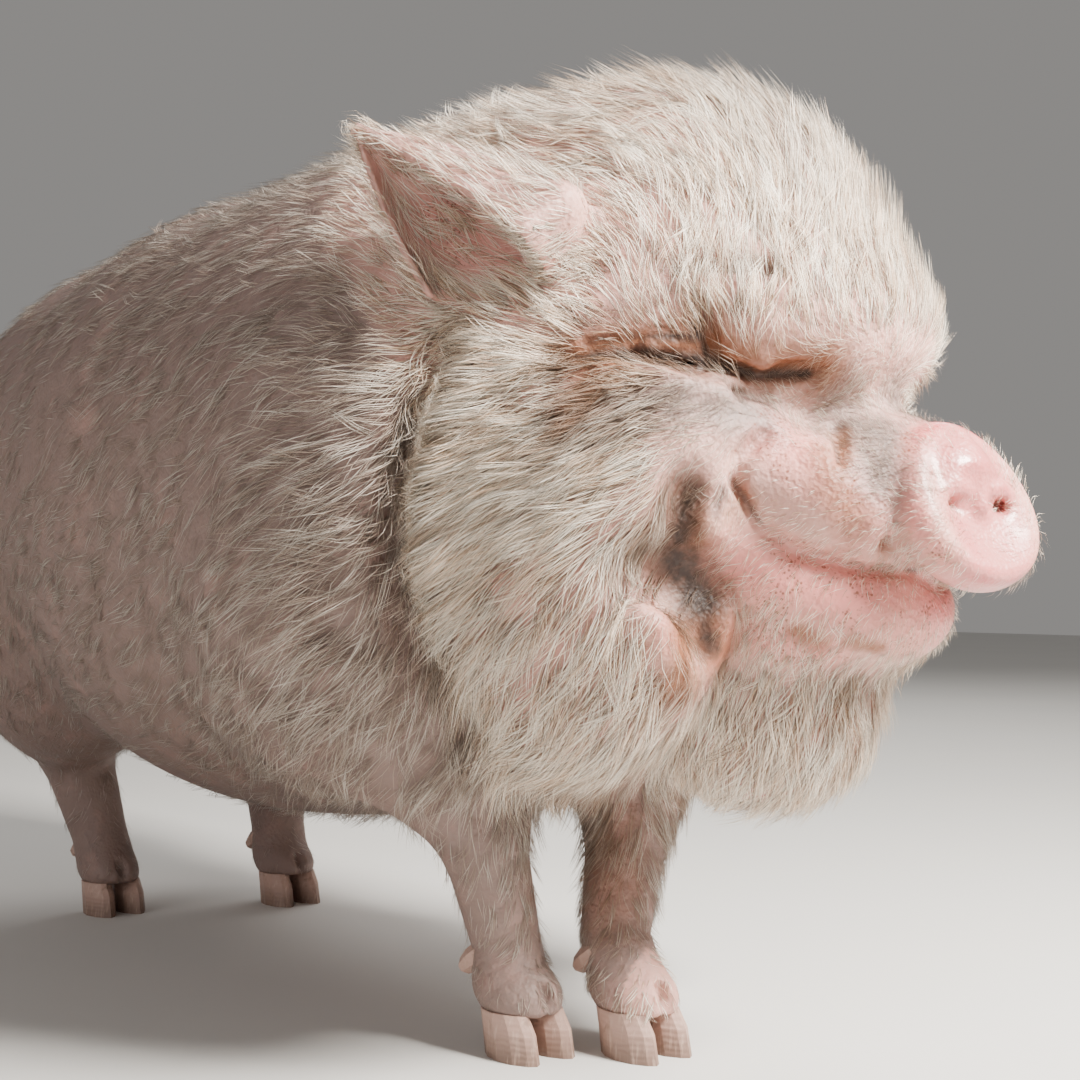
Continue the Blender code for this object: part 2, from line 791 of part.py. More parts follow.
def body_lie(point):
    """Which way the hair of the trunk and neck lies."""
    x, y, z = point
    down = min(max((0.50 - z) / 0.2, 0), 1)
    if x > 0.17 and z < 0.24:
        return np.array((0.1, 0.2 * y / 0.1, -1.0))
    return np.array((-1.0, 0.0, -0.1 - 0.7 * down))


# Each region of the coat by name: where it grows, from x, y counted outwards and z, and the
# spacing, length and width of its locks
COATS = {
    "head": (
        ("crown", lambda x, y, z: z > 0.43 and x < 0.37 and y < 0.115, 0.034, 0.085, 0.028),
        ("brow", lambda x, y, z: 0.40 < z and x >= 0.37, 0.028, 0.055, 0.024),
        ("cheek", lambda x, y, z: 0.30 < z < 0.368 and y > 0.10, 0.034, 0.080, 0.027),
        ("jowl", lambda x, y, z: 0.17 < z <= 0.30 and y > 0.085 and x < 0.345, 0.034, 0.088, 0.028),
        ("beard", lambda x, y, z: z < 0.235 and 0.27 < x < 0.385 and y < 0.085, 0.028, 0.070, 0.024),
    ),
    "neck": (("crest", lambda x, y, z: z > 0.36, 0.045, 0.075, 0.030),),
    "torso": (
        ("shoulder", lambda x, y, z: x > 0.0 and z > 0.25, 0.072, 0.085, 0.034),
        ("back", lambda x, y, z: -0.46 < x <= 0.0 and z > 0.33, 0.095, 0.085, 0.036),
        ("chest", lambda x, y, z: x > 0.19 and z < 0.25, 0.032, 0.055, 0.024),
    ),
}


def roots(made, clay, inside, spacing, to_local, random):
    """Evenly spread points of the skin that lie in a region of the coat."""
    faces = [f for f in made.data.polygons if abs(clay.sample(np.array([f.center]))[0]) < 0.003]
    areas = np.array([f.area for f in faces])
    found = []
    for _ in range(4000):
        face = faces[int(random.choice(len(faces), p=areas / areas.sum()))]
        corners = [np.array(made.data.vertices[i].co) for i in face.vertices]
        a, b = random.random(2)
        if a + b > 1:
            a, b = 1 - a, 1 - b
        point = corners[0] + a * (corners[1] - corners[0]) + b * (corners[-1] - corners[0])
        local = to_local[:3, :3] @ point + to_local[:3, 3]
        if not inside(local[0], abs(local[1]), local[2]):
            continue
        if all(np.linalg.norm(point - other) > spacing for other in found):
            found.append(point)
    return found


def lock(clay, root, lie, to_local, length, width, rise):
    """A flat tapered blade that follows the skin and lifts off it, as rings of points."""
    turn_back = to_local[:3, :3].T
    rings = []
    point = np.array(root)
    shares = (0.0, 0.25, 0.5, 0.78, 1.0)
    widths = (0.6, 1.0, 0.95, 0.6, 0.0)
    heights = (-0.006, 0.002, 0.5 * rise, 0.85 * rise, rise)
    for i, share in enumerate(shares):
        normal = clay.slope(point[None])[0]
        local = to_local[:3, :3] @ point + to_local[:3, 3]
        ahead = turn_back @ lie(local)
        ahead = unit(ahead - normal * (ahead @ normal))
        if i:
            point = point + ahead * length * (share - shares[i - 1])
            for _ in range(3):
                normal = clay.slope(point[None])[0]
                point = point - normal * clay.sample(point[None])[0] * 0.8
        side = unit(np.cross(normal, ahead)) * width * widths[i] / 2
        thick = normal * LOCK_THICKNESS * (0.5 + 0.5 * widths[i]) / 2
        centre = point + normal * heights[i]
        if widths[i] == 0:
            rings.append([centre])
        else:
            rings.append([centre - side, centre + thick, centre + side])
    return rings


def touches(rings, trees):
    """Whether a blade comes within reach of another node."""
    flat = [p for ring in rings for p in ring]
    for first, second in zip(rings, rings[1:]):
        for k, p in enumerate(first):
            q = second[k % len(second)]
            flat.extend(p + (q - p) * share for share in (0.25, 0.5, 0.75))
    blade = loft("probe", rings)
    vertices = [v.co for v in blade.data.vertices]
    shape = BVHTree.FromPolygons(vertices, [p.vertices[:] for p in blade.data.polygons])
    bpy.data.objects.remove(blade)
    for tree in trees:
        if tree.overlap(shape):
            return True
        for p in flat:
            place, normal, _, distance = tree.find_nearest(Vector(p), 0.03)
            if place is None:
                continue
            if distance < 0.0018 or (Vector(p) - place).dot(normal) < 0:
                return True
    return False


def dress(nodes, clay, random):
    """Fuse the coat's locks to the head, neck and trunk."""
    for name, regions in COATS.items():
        made = nodes[name]
        frame = turned({"head": 1, "neck": 0.7, "torso": 0}[name])
        to_local = np.linalg.inv(np.array(frame))
        lie = head_lie if name == "head" else body_lie
        trees = []
        for other in nodes.values():
            if other is not made:
                vertices = [v.co for v in other.data.vertices]
                faces = [p.vertices[:] for p in other.data.polygons]
                trees.append(BVHTree.FromPolygons(vertices, faces))
        for _, inside, spacing, length, width in regions:
            for root in roots(made, clay, inside, spacing, to_local, random):
                grown = length * random.uniform(0.85, 1.15)
                broad = width * random.uniform(0.85, 1.15)
                rise = random.uniform(0.009, 0.016)
                for shrink in (1.0, 0.75, 0.55):
                    rings = lock(clay, root, lie, to_local, grown * shrink, broad, rise * shrink)
                    if not touches(rings, trees):
                        fuse(made, loft("lock", rings))
                        break
        whole = pieces(made, name)
        for scrap in whole[1:]:
            bpy.data.objects.remove(scrap)
        nodes[name] = whole[0]


def main():
    """Model the animal whole, part it into its nodes, and dress it with locks."""
    for old in list(bpy.data.objects):
        bpy.data.objects.remove(old)
    clay = sculpt(CELL)
    body = pieces(clay.surface("torso"), "torso")[0]
    thin_out(body, SKIN_TRIANGLES)
    nodes = {}
    place = turned(1)
    ear_cuts = {}
    for name, side in SIDES.items():
        shell = ear(side)
        ear_cuts[name] = ear_slab(clay, shell)
        combine(body, shell, "UNION")
    combine(body, tail(), "UNION")
    carve_eyes(body, nodes, place)
    carve_nostrils(body, pad_frame())
    for name, side in SIDES.items():
        tip = place @ Vector(both(EAR_TIP, side))
        nodes["ear_" + name], body = split(body, ear_cuts[name], tip, "ear_" + name)
    cut = dome((0.235, 0, 0.385), (0.265, 0.32, 0.075), (0, -105.4, 0))
    nodes["head"], body = split(body, move(cut, place), place @ Vector((0.40, 0, 0.40)), "head")
    cut = dome((0.438, 0, 0.318), (0.052, 0.066, 0.016), (0, -98, 0), across=16, down=3)
    cut = move(cut, pad_frame())
    tip = place @ Vector((0.456, 0, 0.33))
    nodes["snout"], nodes["head"] = split(nodes["head"], cut, tip, "snout")
    cut = move(dome((0.17, 0, 0.42), (0.28, 0.32, 0.06), (0, -120, 0)), turned(0.5))
    nape = turned(0.5) @ Vector((0.17, 0, 0.55))
    nodes["neck"], body = split(body, cut, nape, "neck")
    cut = box((-0.534, -0.03, 0.395), (-0.534 + GAP, 0.03, 0.46))
    nodes["tail"], body = split(body, cut, (-0.553, 0, 0.27), "tail")
    body = cut_legs(body, nodes)
    shoe(nodes)
    nodes["torso"] = body
    dress(nodes, clay, np.random.default_rng(SEED))
    for name, made in nodes.items():
        tidy(made)
        move(made, Matrix.Translation(CENTRING))
        paint(made, name, *finish(name))


if __name__ == "__main__":
    main()
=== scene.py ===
"""The looks of a white pot-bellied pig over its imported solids: skin, coat, eyes, claws, light and camera.

Metres, nose along +X, the animal's left along +Y, floor at z = 0. Forms are given in the animal's own
frame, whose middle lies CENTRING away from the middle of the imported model. Places on the head are given
for a head that looks straight ahead, and turn with it.
"""

import json
import logging
import math
from dataclasses import dataclass, field
from enum import Enum
from typing import Any, Callable, Iterator, Protocol, Sequence

import bpy
import numpy as np
import openvdb
from mathutils import Matrix, Vector
from mathutils.bvhtree import BVHTree

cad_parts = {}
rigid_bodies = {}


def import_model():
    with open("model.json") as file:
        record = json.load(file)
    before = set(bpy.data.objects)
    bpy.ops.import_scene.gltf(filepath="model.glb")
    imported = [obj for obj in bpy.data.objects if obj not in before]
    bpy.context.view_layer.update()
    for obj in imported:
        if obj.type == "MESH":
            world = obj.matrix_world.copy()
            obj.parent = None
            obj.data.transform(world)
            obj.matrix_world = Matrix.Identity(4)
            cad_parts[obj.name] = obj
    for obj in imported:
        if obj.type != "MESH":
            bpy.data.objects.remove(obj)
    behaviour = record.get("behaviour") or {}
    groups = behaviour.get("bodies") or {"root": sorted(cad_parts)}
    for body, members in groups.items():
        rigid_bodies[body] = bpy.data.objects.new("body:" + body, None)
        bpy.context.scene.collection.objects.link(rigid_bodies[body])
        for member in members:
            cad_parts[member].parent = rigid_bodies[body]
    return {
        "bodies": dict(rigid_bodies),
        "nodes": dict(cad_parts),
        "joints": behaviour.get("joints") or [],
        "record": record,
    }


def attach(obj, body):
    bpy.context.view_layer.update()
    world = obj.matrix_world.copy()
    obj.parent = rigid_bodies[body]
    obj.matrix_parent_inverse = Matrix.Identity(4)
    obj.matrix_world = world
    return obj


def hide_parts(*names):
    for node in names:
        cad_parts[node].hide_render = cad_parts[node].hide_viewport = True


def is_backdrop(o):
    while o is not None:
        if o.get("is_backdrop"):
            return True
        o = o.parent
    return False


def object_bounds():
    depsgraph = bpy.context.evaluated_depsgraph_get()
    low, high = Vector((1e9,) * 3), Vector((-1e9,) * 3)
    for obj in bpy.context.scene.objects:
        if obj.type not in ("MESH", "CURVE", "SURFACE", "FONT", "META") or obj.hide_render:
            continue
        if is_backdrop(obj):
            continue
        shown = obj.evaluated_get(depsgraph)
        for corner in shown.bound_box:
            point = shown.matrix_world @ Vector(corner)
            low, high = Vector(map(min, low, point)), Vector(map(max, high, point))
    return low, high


Point = tuple[float, float, float]
Array = np.ndarray

BACK_HEIGHT = 0.55
TRUNK_HALF_WIDTH = 0.215
HEAD_YAW = 12.0
HEAD_PIVOT: Point = (0.07, 0.0, 0.40)
HEAD_MIDDLE: Point = (0.28, 0.0, 0.0)
PAD_YAW = -14.0
PAD_CENTRE: Point = (0.4415, 0.0, 0.311)
EYE_CENTRE: Point = (0.331, 0.092, 0.384)
EYE_RADIUS = 0.0105
HOOF_HEIGHT = 0.026
CENTRING: Point = (0.0534, 0.0, 0.0)
COAT_DEPTH = 0.0015
FAR = 1.0
LEAST_MARGIN = 0.02
EDGE_MARGIN = 0.006
SIDES: dict[str, int] = {"right": -1, "left": 1}
SEED = 11
BAKE_MAP = "OFBake"
TUFT_PATCH = 0.003
SHEET_SHARES = (0.33, 0.67, 1.0)
COMB_BLEND = 0.0003

log = logging.getLogger("pig")


def both(point: Sequence[float], side: int) -> Point:
    """A point of the right or left side, from its distance off the middle.

    Args:
        point: Place with y counted outwards.
        side: -1 for the right, 1 for the left.

    Returns:
        The place with its true y.
    """
    return (point[0], point[1] * side, point[2])


def mirrored(points: Sequence[Sequence[float]], side: int) -> list[Point]:
    """Points of the right or left side, from their distances off the middle."""
    return [both(point, side) for point in points]


def turned(share: float) -> Matrix:
    """The frame of the head, or part of the way to it.

    Args:
        share: 0 for the trunk, 1 for the head.

    Returns:
        The frame as a 4 by 4 matrix.
    """
    pivot = Vector(HEAD_PIVOT)
    angle = math.radians(HEAD_YAW * share)
    return Matrix.Translation(pivot) @ Matrix.Rotation(angle, 4, "Z") @ Matrix.Translation(-pivot)


def pad_frame() -> Matrix:
    """The frame of the snout's pad, turned a little against the head.

    Returns:
        The frame as a 4 by 4 matrix.
    """
    centre = Vector(PAD_CENTRE)
    yaw = Matrix.Rotation(math.radians(PAD_YAW), 4, "Z")
    return turned(1) @ Matrix.Translation(centre) @ yaw @ Matrix.Translation(-centre)


def moved(matrix: Matrix | Array, points: Array) -> Array:
    """Points carried by a frame.

    Args:
        matrix: The frame.
        points: Rows of places.

    Returns:
        The carried places.
    """
    m = np.array(matrix)
    return points @ m[:3, :3].T + m[:3, 3]


def unit(vectors: Array) -> Array:
    """Vectors at a length of one."""
    return vectors / np.maximum(np.linalg.norm(vectors, axis=-1, keepdims=True), 1e-9)


def across(first: Array, second: Array) -> Array:
    """Sums of products along the last axis, kept as a column."""
    return np.sum(first * second, axis=-1, keepdims=True)


def smooth_step(values: Array) -> Array:
    """0 below 0 and 1 above 1, with a soft rise between."""
    share = np.clip(values, 0, 1)
    return share * share * (3 - 2 * share)


def smooth_min(first: Array, second: Array, blend: float) -> Array:
    """The lower of two distance fields, rounded where they meet.

    Args:
        first: One field.
        second: The other.
        blend: How wide the rounding is.

    Returns:
        The joined field.
    """
    overlap = np.maximum(blend - np.abs(first - second), 0) / blend
    return np.minimum(first, second) - overlap * overlap * blend * 0.25


class Form(Protocol):
    """Anything that can be added to clay or carved out of it."""

    def ball(self) -> tuple[Array, float]:
        """A centre and radius that hold the form."""

    def distance(self, points: Array) -> Array:
        """How far each of the points is outside the form."""


class Ellipsoid:
    """A rounded mass: its centre, its three half sizes, and its turn in degrees about X, Y and Z."""

    def __init__(self, centre: Point, radii: Point, turn: Point = (0, 0, 0)) -> None:
        """Keep the sizes, and the turn as a rotation.

        Args:
            centre: Middle of the mass.
            radii: Half sizes along its own axes.
            turn: Degrees about X, Y and Z.
        """
        self.centre = np.array(centre, np.float32)
        self.radii = np.array(radii, np.float32)
        angles = [math.radians(a) for a in turn]
        rotation = Matrix.Rotation(angles[2], 3, "Z") @ Matrix.Rotation(angles[1], 3, "Y")
        self.rotation = np.array(rotation @ Matrix.Rotation(angles[0], 3, "X"), np.float32)

    def ball(self) -> tuple[Array, float]:
        """A centre and radius that hold the mass."""
        return self.centre, float(self.radii.max())

    def distance(self, points: Array) -> Array:
        """How far points are outside the mass, nearly.

        Args:
            points: Places in the form's frame.

        Returns:
            One distance for each place, below zero inside.
        """
        local = (points - self.centre) @ self.rotation
        near = np.linalg.norm(local / self.radii, axis=-1)
        slope = np.linalg.norm(local / self.radii**2, axis=-1)
        return near * (near - 1) / np.maximum(slope, 1e-6)


class Limb:
    """A chain of round rods whose radius changes from point to point."""

    def __init__(self, points: Sequence[Sequence[float]], radii: float | Sequence[float]) -> None:
        """Keep the chain, with a radius for each of its points.

        Args:
            points: Where the chain runs.
            radii: One radius, or one for each point.
        """
        self.points = np.array(points, np.float32)
        self.radii = np.broadcast_to(np.array(radii, np.float32), len(self.points))

    def ball(self) -> tuple[Array, float]:
        """A centre and radius that hold the chain."""
        low, high = self.points.min(0), self.points.max(0)
        return (low + high) / 2, float(np.linalg.norm(high - low) / 2 + self.radii.max())

    def distance(self, points: Array) -> Array:
        """How far points are outside the chain.

        Args:
            points: Places in the form's frame.

        Returns:
            One distance for each place, below zero inside.
        """
        found = None
        for i in range(len(self.points) - 1):
            start, along = self.points[i], self.points[i + 1] - self.points[i]
            share = np.clip((points - start) @ along / (along @ along), 0, 1)
            nearest = start + share[..., None] * along
            radius = self.radii[i] + share * (self.radii[i + 1] - self.radii[i])
            gap = np.linalg.norm(points - nearest, axis=-1) - radius
            found = gap if found is None else np.minimum(found, gap)
        return found


@dataclass(frozen=True)
class Ear:
    """A pointed trough of skin, open outward: its root, tip, section and thickness on the left side."""

    side: int
    root: Point = (0.272, 0.156, 0.434)
    tip: Point = (0.184, 0.188, 0.514)
    front: Point = (0.53, -0.49, 0.70)
    out: Point = (0.535, 0.828, 0.174)
    width: float = 0.046
    depth: float = 0.026
    thickness: float = 0.0064
    first_angle: float = 78.0
    last_angle: float = -185.0
    root_share: float = 0.12
    root_sink: float = 0.28
    tip_share: float = 0.05
    tip_thinning: float = 0.35

    def axes(self) -> tuple[Array, Array, Array, Array]:
        """The ear's own directions, on its side of the head.

        Returns:
            The root, the way to the tip, the way to the front rim and the way out of the open side.
        """
        root, tip, front, out = (
            np.array(both(v, self.side), np.float32) for v in (self.root, self.tip, self.front, self.out)
        )
        return root, tip - root, front, out

    def ball(self) -> tuple[Array, float]:
        """A centre and radius that hold the ear."""
        root, along, _, _ = self.axes()
        return root + along / 2, float(np.linalg.norm(along) / 2 + self.width)

    def distance(self, points: Array) -> Array:
        """How far points are outside the ear's sheet.

        Args:
            points: Places in the head's frame.

        Returns:
            One distance for each place, below zero inside.
        """
        root, along, front, out = self.axes()
        local = points - root
        share = np.clip(local @ along / (along @ along), -self.root_share, 1)
        above = np.maximum(share, 0)
        wide = self.width * np.maximum(1 - above**1.5, self.tip_share)
        deep = self.depth * np.maximum(1 - above**1.3, self.tip_share)
        centre = share[..., None] * along + np.minimum(share, 0)[..., None] * self.root_sink * out
        offset = local - centre
        angle = np.arctan2((offset @ out) / deep, (offset @ front) / wide)
        first, last = math.radians(self.first_angle), math.radians(self.last_angle)
        middle = (first + last) / 2
        turn = (angle - middle + math.pi) % (2 * math.pi) - math.pi
        angle = middle + np.clip(turn, (last - first) / 2, (first - last) / 2)
        nearest = (wide * np.cos(angle))[..., None] * front + (deep * np.sin(angle))[..., None] * out
        gap = np.linalg.norm(offset - nearest, axis=-1)
        return gap - self.thickness * (1 - self.tip_thinning * above) / 2


class Plate:
    """A flat egg-shaped pad with a rounded edge, wider below: the end of the snout."""

    def __init__(
        self, centre: Point, tilt: float, height: float, widths: tuple[float, float], thickness: float,
        rounding: float,
    ) -> None:
        """Keep the pad's sizes, and its tilt as a rotation.

        Args:
            centre: Middle of the pad.
            tilt: Degrees that its face looks up.
            height: Half its height.
            widths: Half its width at the bottom and at the top.
            thickness: Half its thickness.
            rounding: Radius of its edge.
        """
        self.centre = np.array(centre, np.float32)
        self.rotation = np.array(Matrix.Rotation(math.radians(-tilt), 3, "Y"), np.float32)
        self.height, self.widths, self.thickness, self.rounding = height, widths, thickness, rounding

    def ball(self) -> tuple[Array, float]:
        """A centre and radius that hold the pad."""
        return self.centre, max(self.height, *self.widths) + self.thickness

    def distance(self, points: Array) -> Array:
        """How far points are outside the pad.

        Args:
            points: Places in the pad's frame.

        Returns:
            One distance for each place, below zero inside.
        """
        local = (points - self.centre) @ self.rotation
        share = np.clip(0.5 + local[..., 2] / self.height / 2, 0, 1)
        wide = self.widths[0] + (self.widths[1] - self.widths[0]) * share
        reach = np.sqrt((local[..., 1] / wide) ** 2 + (local[..., 2] / self.height) ** 2)
        edge = (reach - 1) * self.height + self.rounding
        face = np.abs(local[..., 0]) - self.thickness + self.rounding
        outer = np.hypot(np.maximum(edge, 0), np.maximum(face, 0))
        return outer + np.minimum(np.maximum(edge, face), 0) - self.rounding


class Clay:
    """A block of distances on a grid whose steps may differ, shaped by adding and carving forms."""

    def __init__(self, axes: Sequence[Array]) -> None:
        """Start with an empty block.

        Args:
            axes: The grid's places along X, Y and Z.
        """
        self.axes = [np.array(axis, np.float32) for axis in axes]
        self.field = np.full([len(axis) for axis in axes], FAR, np.float32)
        self.frame = np.eye(4)
        self.step = float(np.diff(self.axes[1]).min())

    def turn(self, matrix: Matrix | Array) -> None:
        """Give the forms that follow in this frame."""
        self.frame = np.array(matrix)

    def window(self, form: Form, blend: float) -> tuple[slice, ...]:
        """The part of the grid that a form can change.

        Args:
            form: The form.
            blend: How wide it is rounded in.

        Returns:
            One slice for each axis.
        """
        centre, radius = form.ball()
        centre = self.frame[:3, :3] @ centre + self.frame[:3, 3]
        reach = radius + max(blend, LEAST_MARGIN) + EDGE_MARGIN
        return tuple(
            slice(*np.searchsorted(axis, (c - reach, c + reach)))
            for axis, c in zip(self.axes, centre)
        )

    def distances(self, form: Form, window: tuple[slice, ...]) -> Array:
        """A form's distances over part of the grid.

        Args:
            form: The form.
            window: The part of the grid.

        Returns:
            A block of distances.
        """
        parts = [axis[part] for axis, part in zip(self.axes, window)]
        inverse = np.linalg.inv(self.frame).astype(np.float32)
        points = np.stack(np.meshgrid(*parts, indexing="ij"), -1)
        return form.distance(points @ inverse[:3, :3].T + inverse[:3, 3])

    def add(self, form: Form, blend: float = 0.02) -> None:
        """Put a form on."""
        window = self.window(form, blend)
        self.field[window] = smooth_min(self.field[window], self.distances(form, window), blend)

    def carve(self, form: Form, blend: float = 0.01) -> None:
        """Take a form away."""
        window = self.window(form, blend)
        self.field[window] = -smooth_min(-self.field[window], self.distances(form, window), blend)

    def flat(self, height: float, low: Point, high: Point) -> None:
        """Cut everything below a height, inside a block.

        Args:
            height: Where the flat cut lies.
            low: Lowest corner of the block.
            high: Highest corner of the block.
        """
        window = tuple(slice(*np.searchsorted(a, (l, h))) for a, l, h in zip(self.axes, low, high))
        depth = height - self.axes[2][window[2]]
        self.field[window] = np.maximum(self.field[window], depth[None, None, :])

    def sample(self, points: Array) -> Array:
        """The field at any points, by linear steps between the grid's values.

        Args:
            points: Rows of places.

        Returns:
            One distance for each place.
        """
        base, share = [], []
        for i, axis in enumerate(self.axes):
            place = np.interp(points[:, i], axis, np.arange(len(axis)))
            lower = np.minimum(place.astype(int), len(axis) - 2)
            base.append(lower)
            share.append(place - lower)
        total = np.zeros(len(points))
        for corner in range(8):
            steps = [(corner >> i) & 1 for i in range(3)]
            weight = np.ones(len(points))
            for step, part in zip(steps, share):
                weight = weight * (part if step else 1 - part)
            total += weight * self.field[tuple(b + s for b, s in zip(base, steps))]
        return total

    def slope(self, points: Array, step: float = 0.0035) -> Array:
        """Unit vectors that point out of the clay."""
        parts = [self.sample(points + axis) - self.sample(points - axis) for axis in np.eye(3) * step]
        return unit(np.stack(parts, -1))

    def snap(self, points: Array, steps: int = 6) -> Array:
        """Points of the present frame moved on to the surface.

        Args:
            points: Rows of places.
            steps: How often they are moved.

        Returns:
            The places on the surface.
        """
        world = moved(self.frame, np.array(points, float))
        for _ in range(steps):
            world = world - self.slope(world) * self.sample(world)[:, None] * 0.8
        return moved(np.linalg.inv(self.frame), world)

    def surface(self) -> tuple[Array, Array]:
        """The clay's surface, as a mesh.

        Returns:
            The places of the clay's surface and its four-sided faces by place number.
        """
        grid = openvdb.FloatGrid()
        grid.copyFromArray(self.field)
        points, quads = grid.convertToQuads(isovalue=0.0)
        places = [np.interp(points[:, i], np.arange(len(a)), a) for i, a in enumerate(self.axes)]
        return np.stack(places, -1), quads[:, ::-1]


def new_object(name: str, points: Array, loops: Array, sizes: Array) -> bpy.types.Object:
    """A mesh object from arrays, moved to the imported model's place.

    Args:
        name: The object's name.
        points: Places of the vertices.
        loops: Vertex numbers, face after face.
        sizes: How many corners each face has.

    Returns:
        The linked object, smooth shaded.
    """
    mesh = bpy.data.meshes.new(name)
    mesh.vertices.add(len(points))
    mesh.vertices.foreach_set("co", (points + np.array(CENTRING)).astype(np.float32).ravel())
    mesh.loops.add(len(loops))
    mesh.loops.foreach_set("vertex_index", loops.astype(np.int32))
    mesh.polygons.add(len(sizes))
    starts = np.concatenate(([0], np.cumsum(sizes)[:-1]))
    mesh.polygons.foreach_set("loop_start", starts.astype(np.int32))
    mesh.polygons.foreach_set("use_smooth", np.ones(len(sizes), bool))
    mesh.update(calc_edges=True)
    mesh.validate()
    made = bpy.data.objects.new(name, mesh)
    bpy.context.scene.collection.objects.link(made)
    return made


def read_mesh(mesh: bpy.types.Mesh) -> tuple[Array, Array]:
    """A mesh's places in the animal's frame, and its corners by vertex number.

    Args:
        mesh: The mesh.

    Returns:
        Rows of places, and one vertex number for each corner of a face.
    """
    places = np.zeros(len(mesh.vertices) * 3, np.float32)
    mesh.vertices.foreach_get("co", places)
    corners = np.zeros(len(mesh.loops), np.int32)
    mesh.loops.foreach_get("vertex_index", corners)
    return places.reshape(-1, 3).astype(float) - np.array(CENTRING), corners


def paint_points(made: bpy.types.Object, name: str, values: Array) -> None:
    """Keep one number, or one colour, for each vertex under a name that the shader reads.

    Args:
        made: The object.
        name: The attribute's name.
        values: One value or four for each vertex.
    """
    kind = "FLOAT" if values.ndim == 1 else "FLOAT_COLOR"
    layer = made.data.attributes.new(name, kind, "POINT")
    layer.data.foreach_set("value" if values.ndim == 1 else "color", values.astype(np.float32).ravel())


class Wire:
    """A shader socket that can be written in sums."""

    def __init__(self, graph: "Graph", socket: Any) -> None:
        """Tie a socket to its material.

        Args:
            graph: The material it belongs to.
            socket: The node's output.
        """
        self.graph = graph
        self.socket = socket

    def math(self, operation: str, *others: Any, clamp: bool = False) -> "Wire":
        """A Math node on this and other values.

        Args:
            operation: The node's operation.
            others: Further values or wires.
            clamp: Whether the result stays within 0 and 1.

        Returns:
            The result.
        """
        values = {i: value for i, value in enumerate((self, *others))}
        return self.graph.node("ShaderNodeMath", {"operation": operation, "use_clamp": clamp}, values)

    def __add__(self, other: Any) -> "Wire":
        """This plus other."""
        return self.math("ADD", other)

    def __radd__(self, other: Any) -> "Wire":
        """Other plus this."""
        return self.math("ADD", other)

    def __sub__(self, other: Any) -> "Wire":
        """This less other."""
        return self.math("SUBTRACT", other)

    def __rsub__(self, other: Any) -> "Wire":
        """Other less this."""
        return self.graph.number(other).math("SUBTRACT", self)

    def __mul__(self, other: Any) -> "Wire":
        """This times other."""
        return self.math("MULTIPLY", other)

    def __rmul__(self, other: Any) -> "Wire":
        """Other times this."""
        return self.math("MULTIPLY", other)

    def clamp(self) -> "Wire":
        """This kept within 0 and 1."""
        return self.math("ADD", 0.0, clamp=True)

    def rise(self, low: float, high: float) -> "Wire":
        """0 below low and 1 above high, soft between."""
        settings = {"interpolation_type": "SMOOTHSTEP"}
        return self.graph.node("ShaderNodeMapRange", settings, {0: self, 1: low, 2: high, 3: 0.0, 4: 1.0})


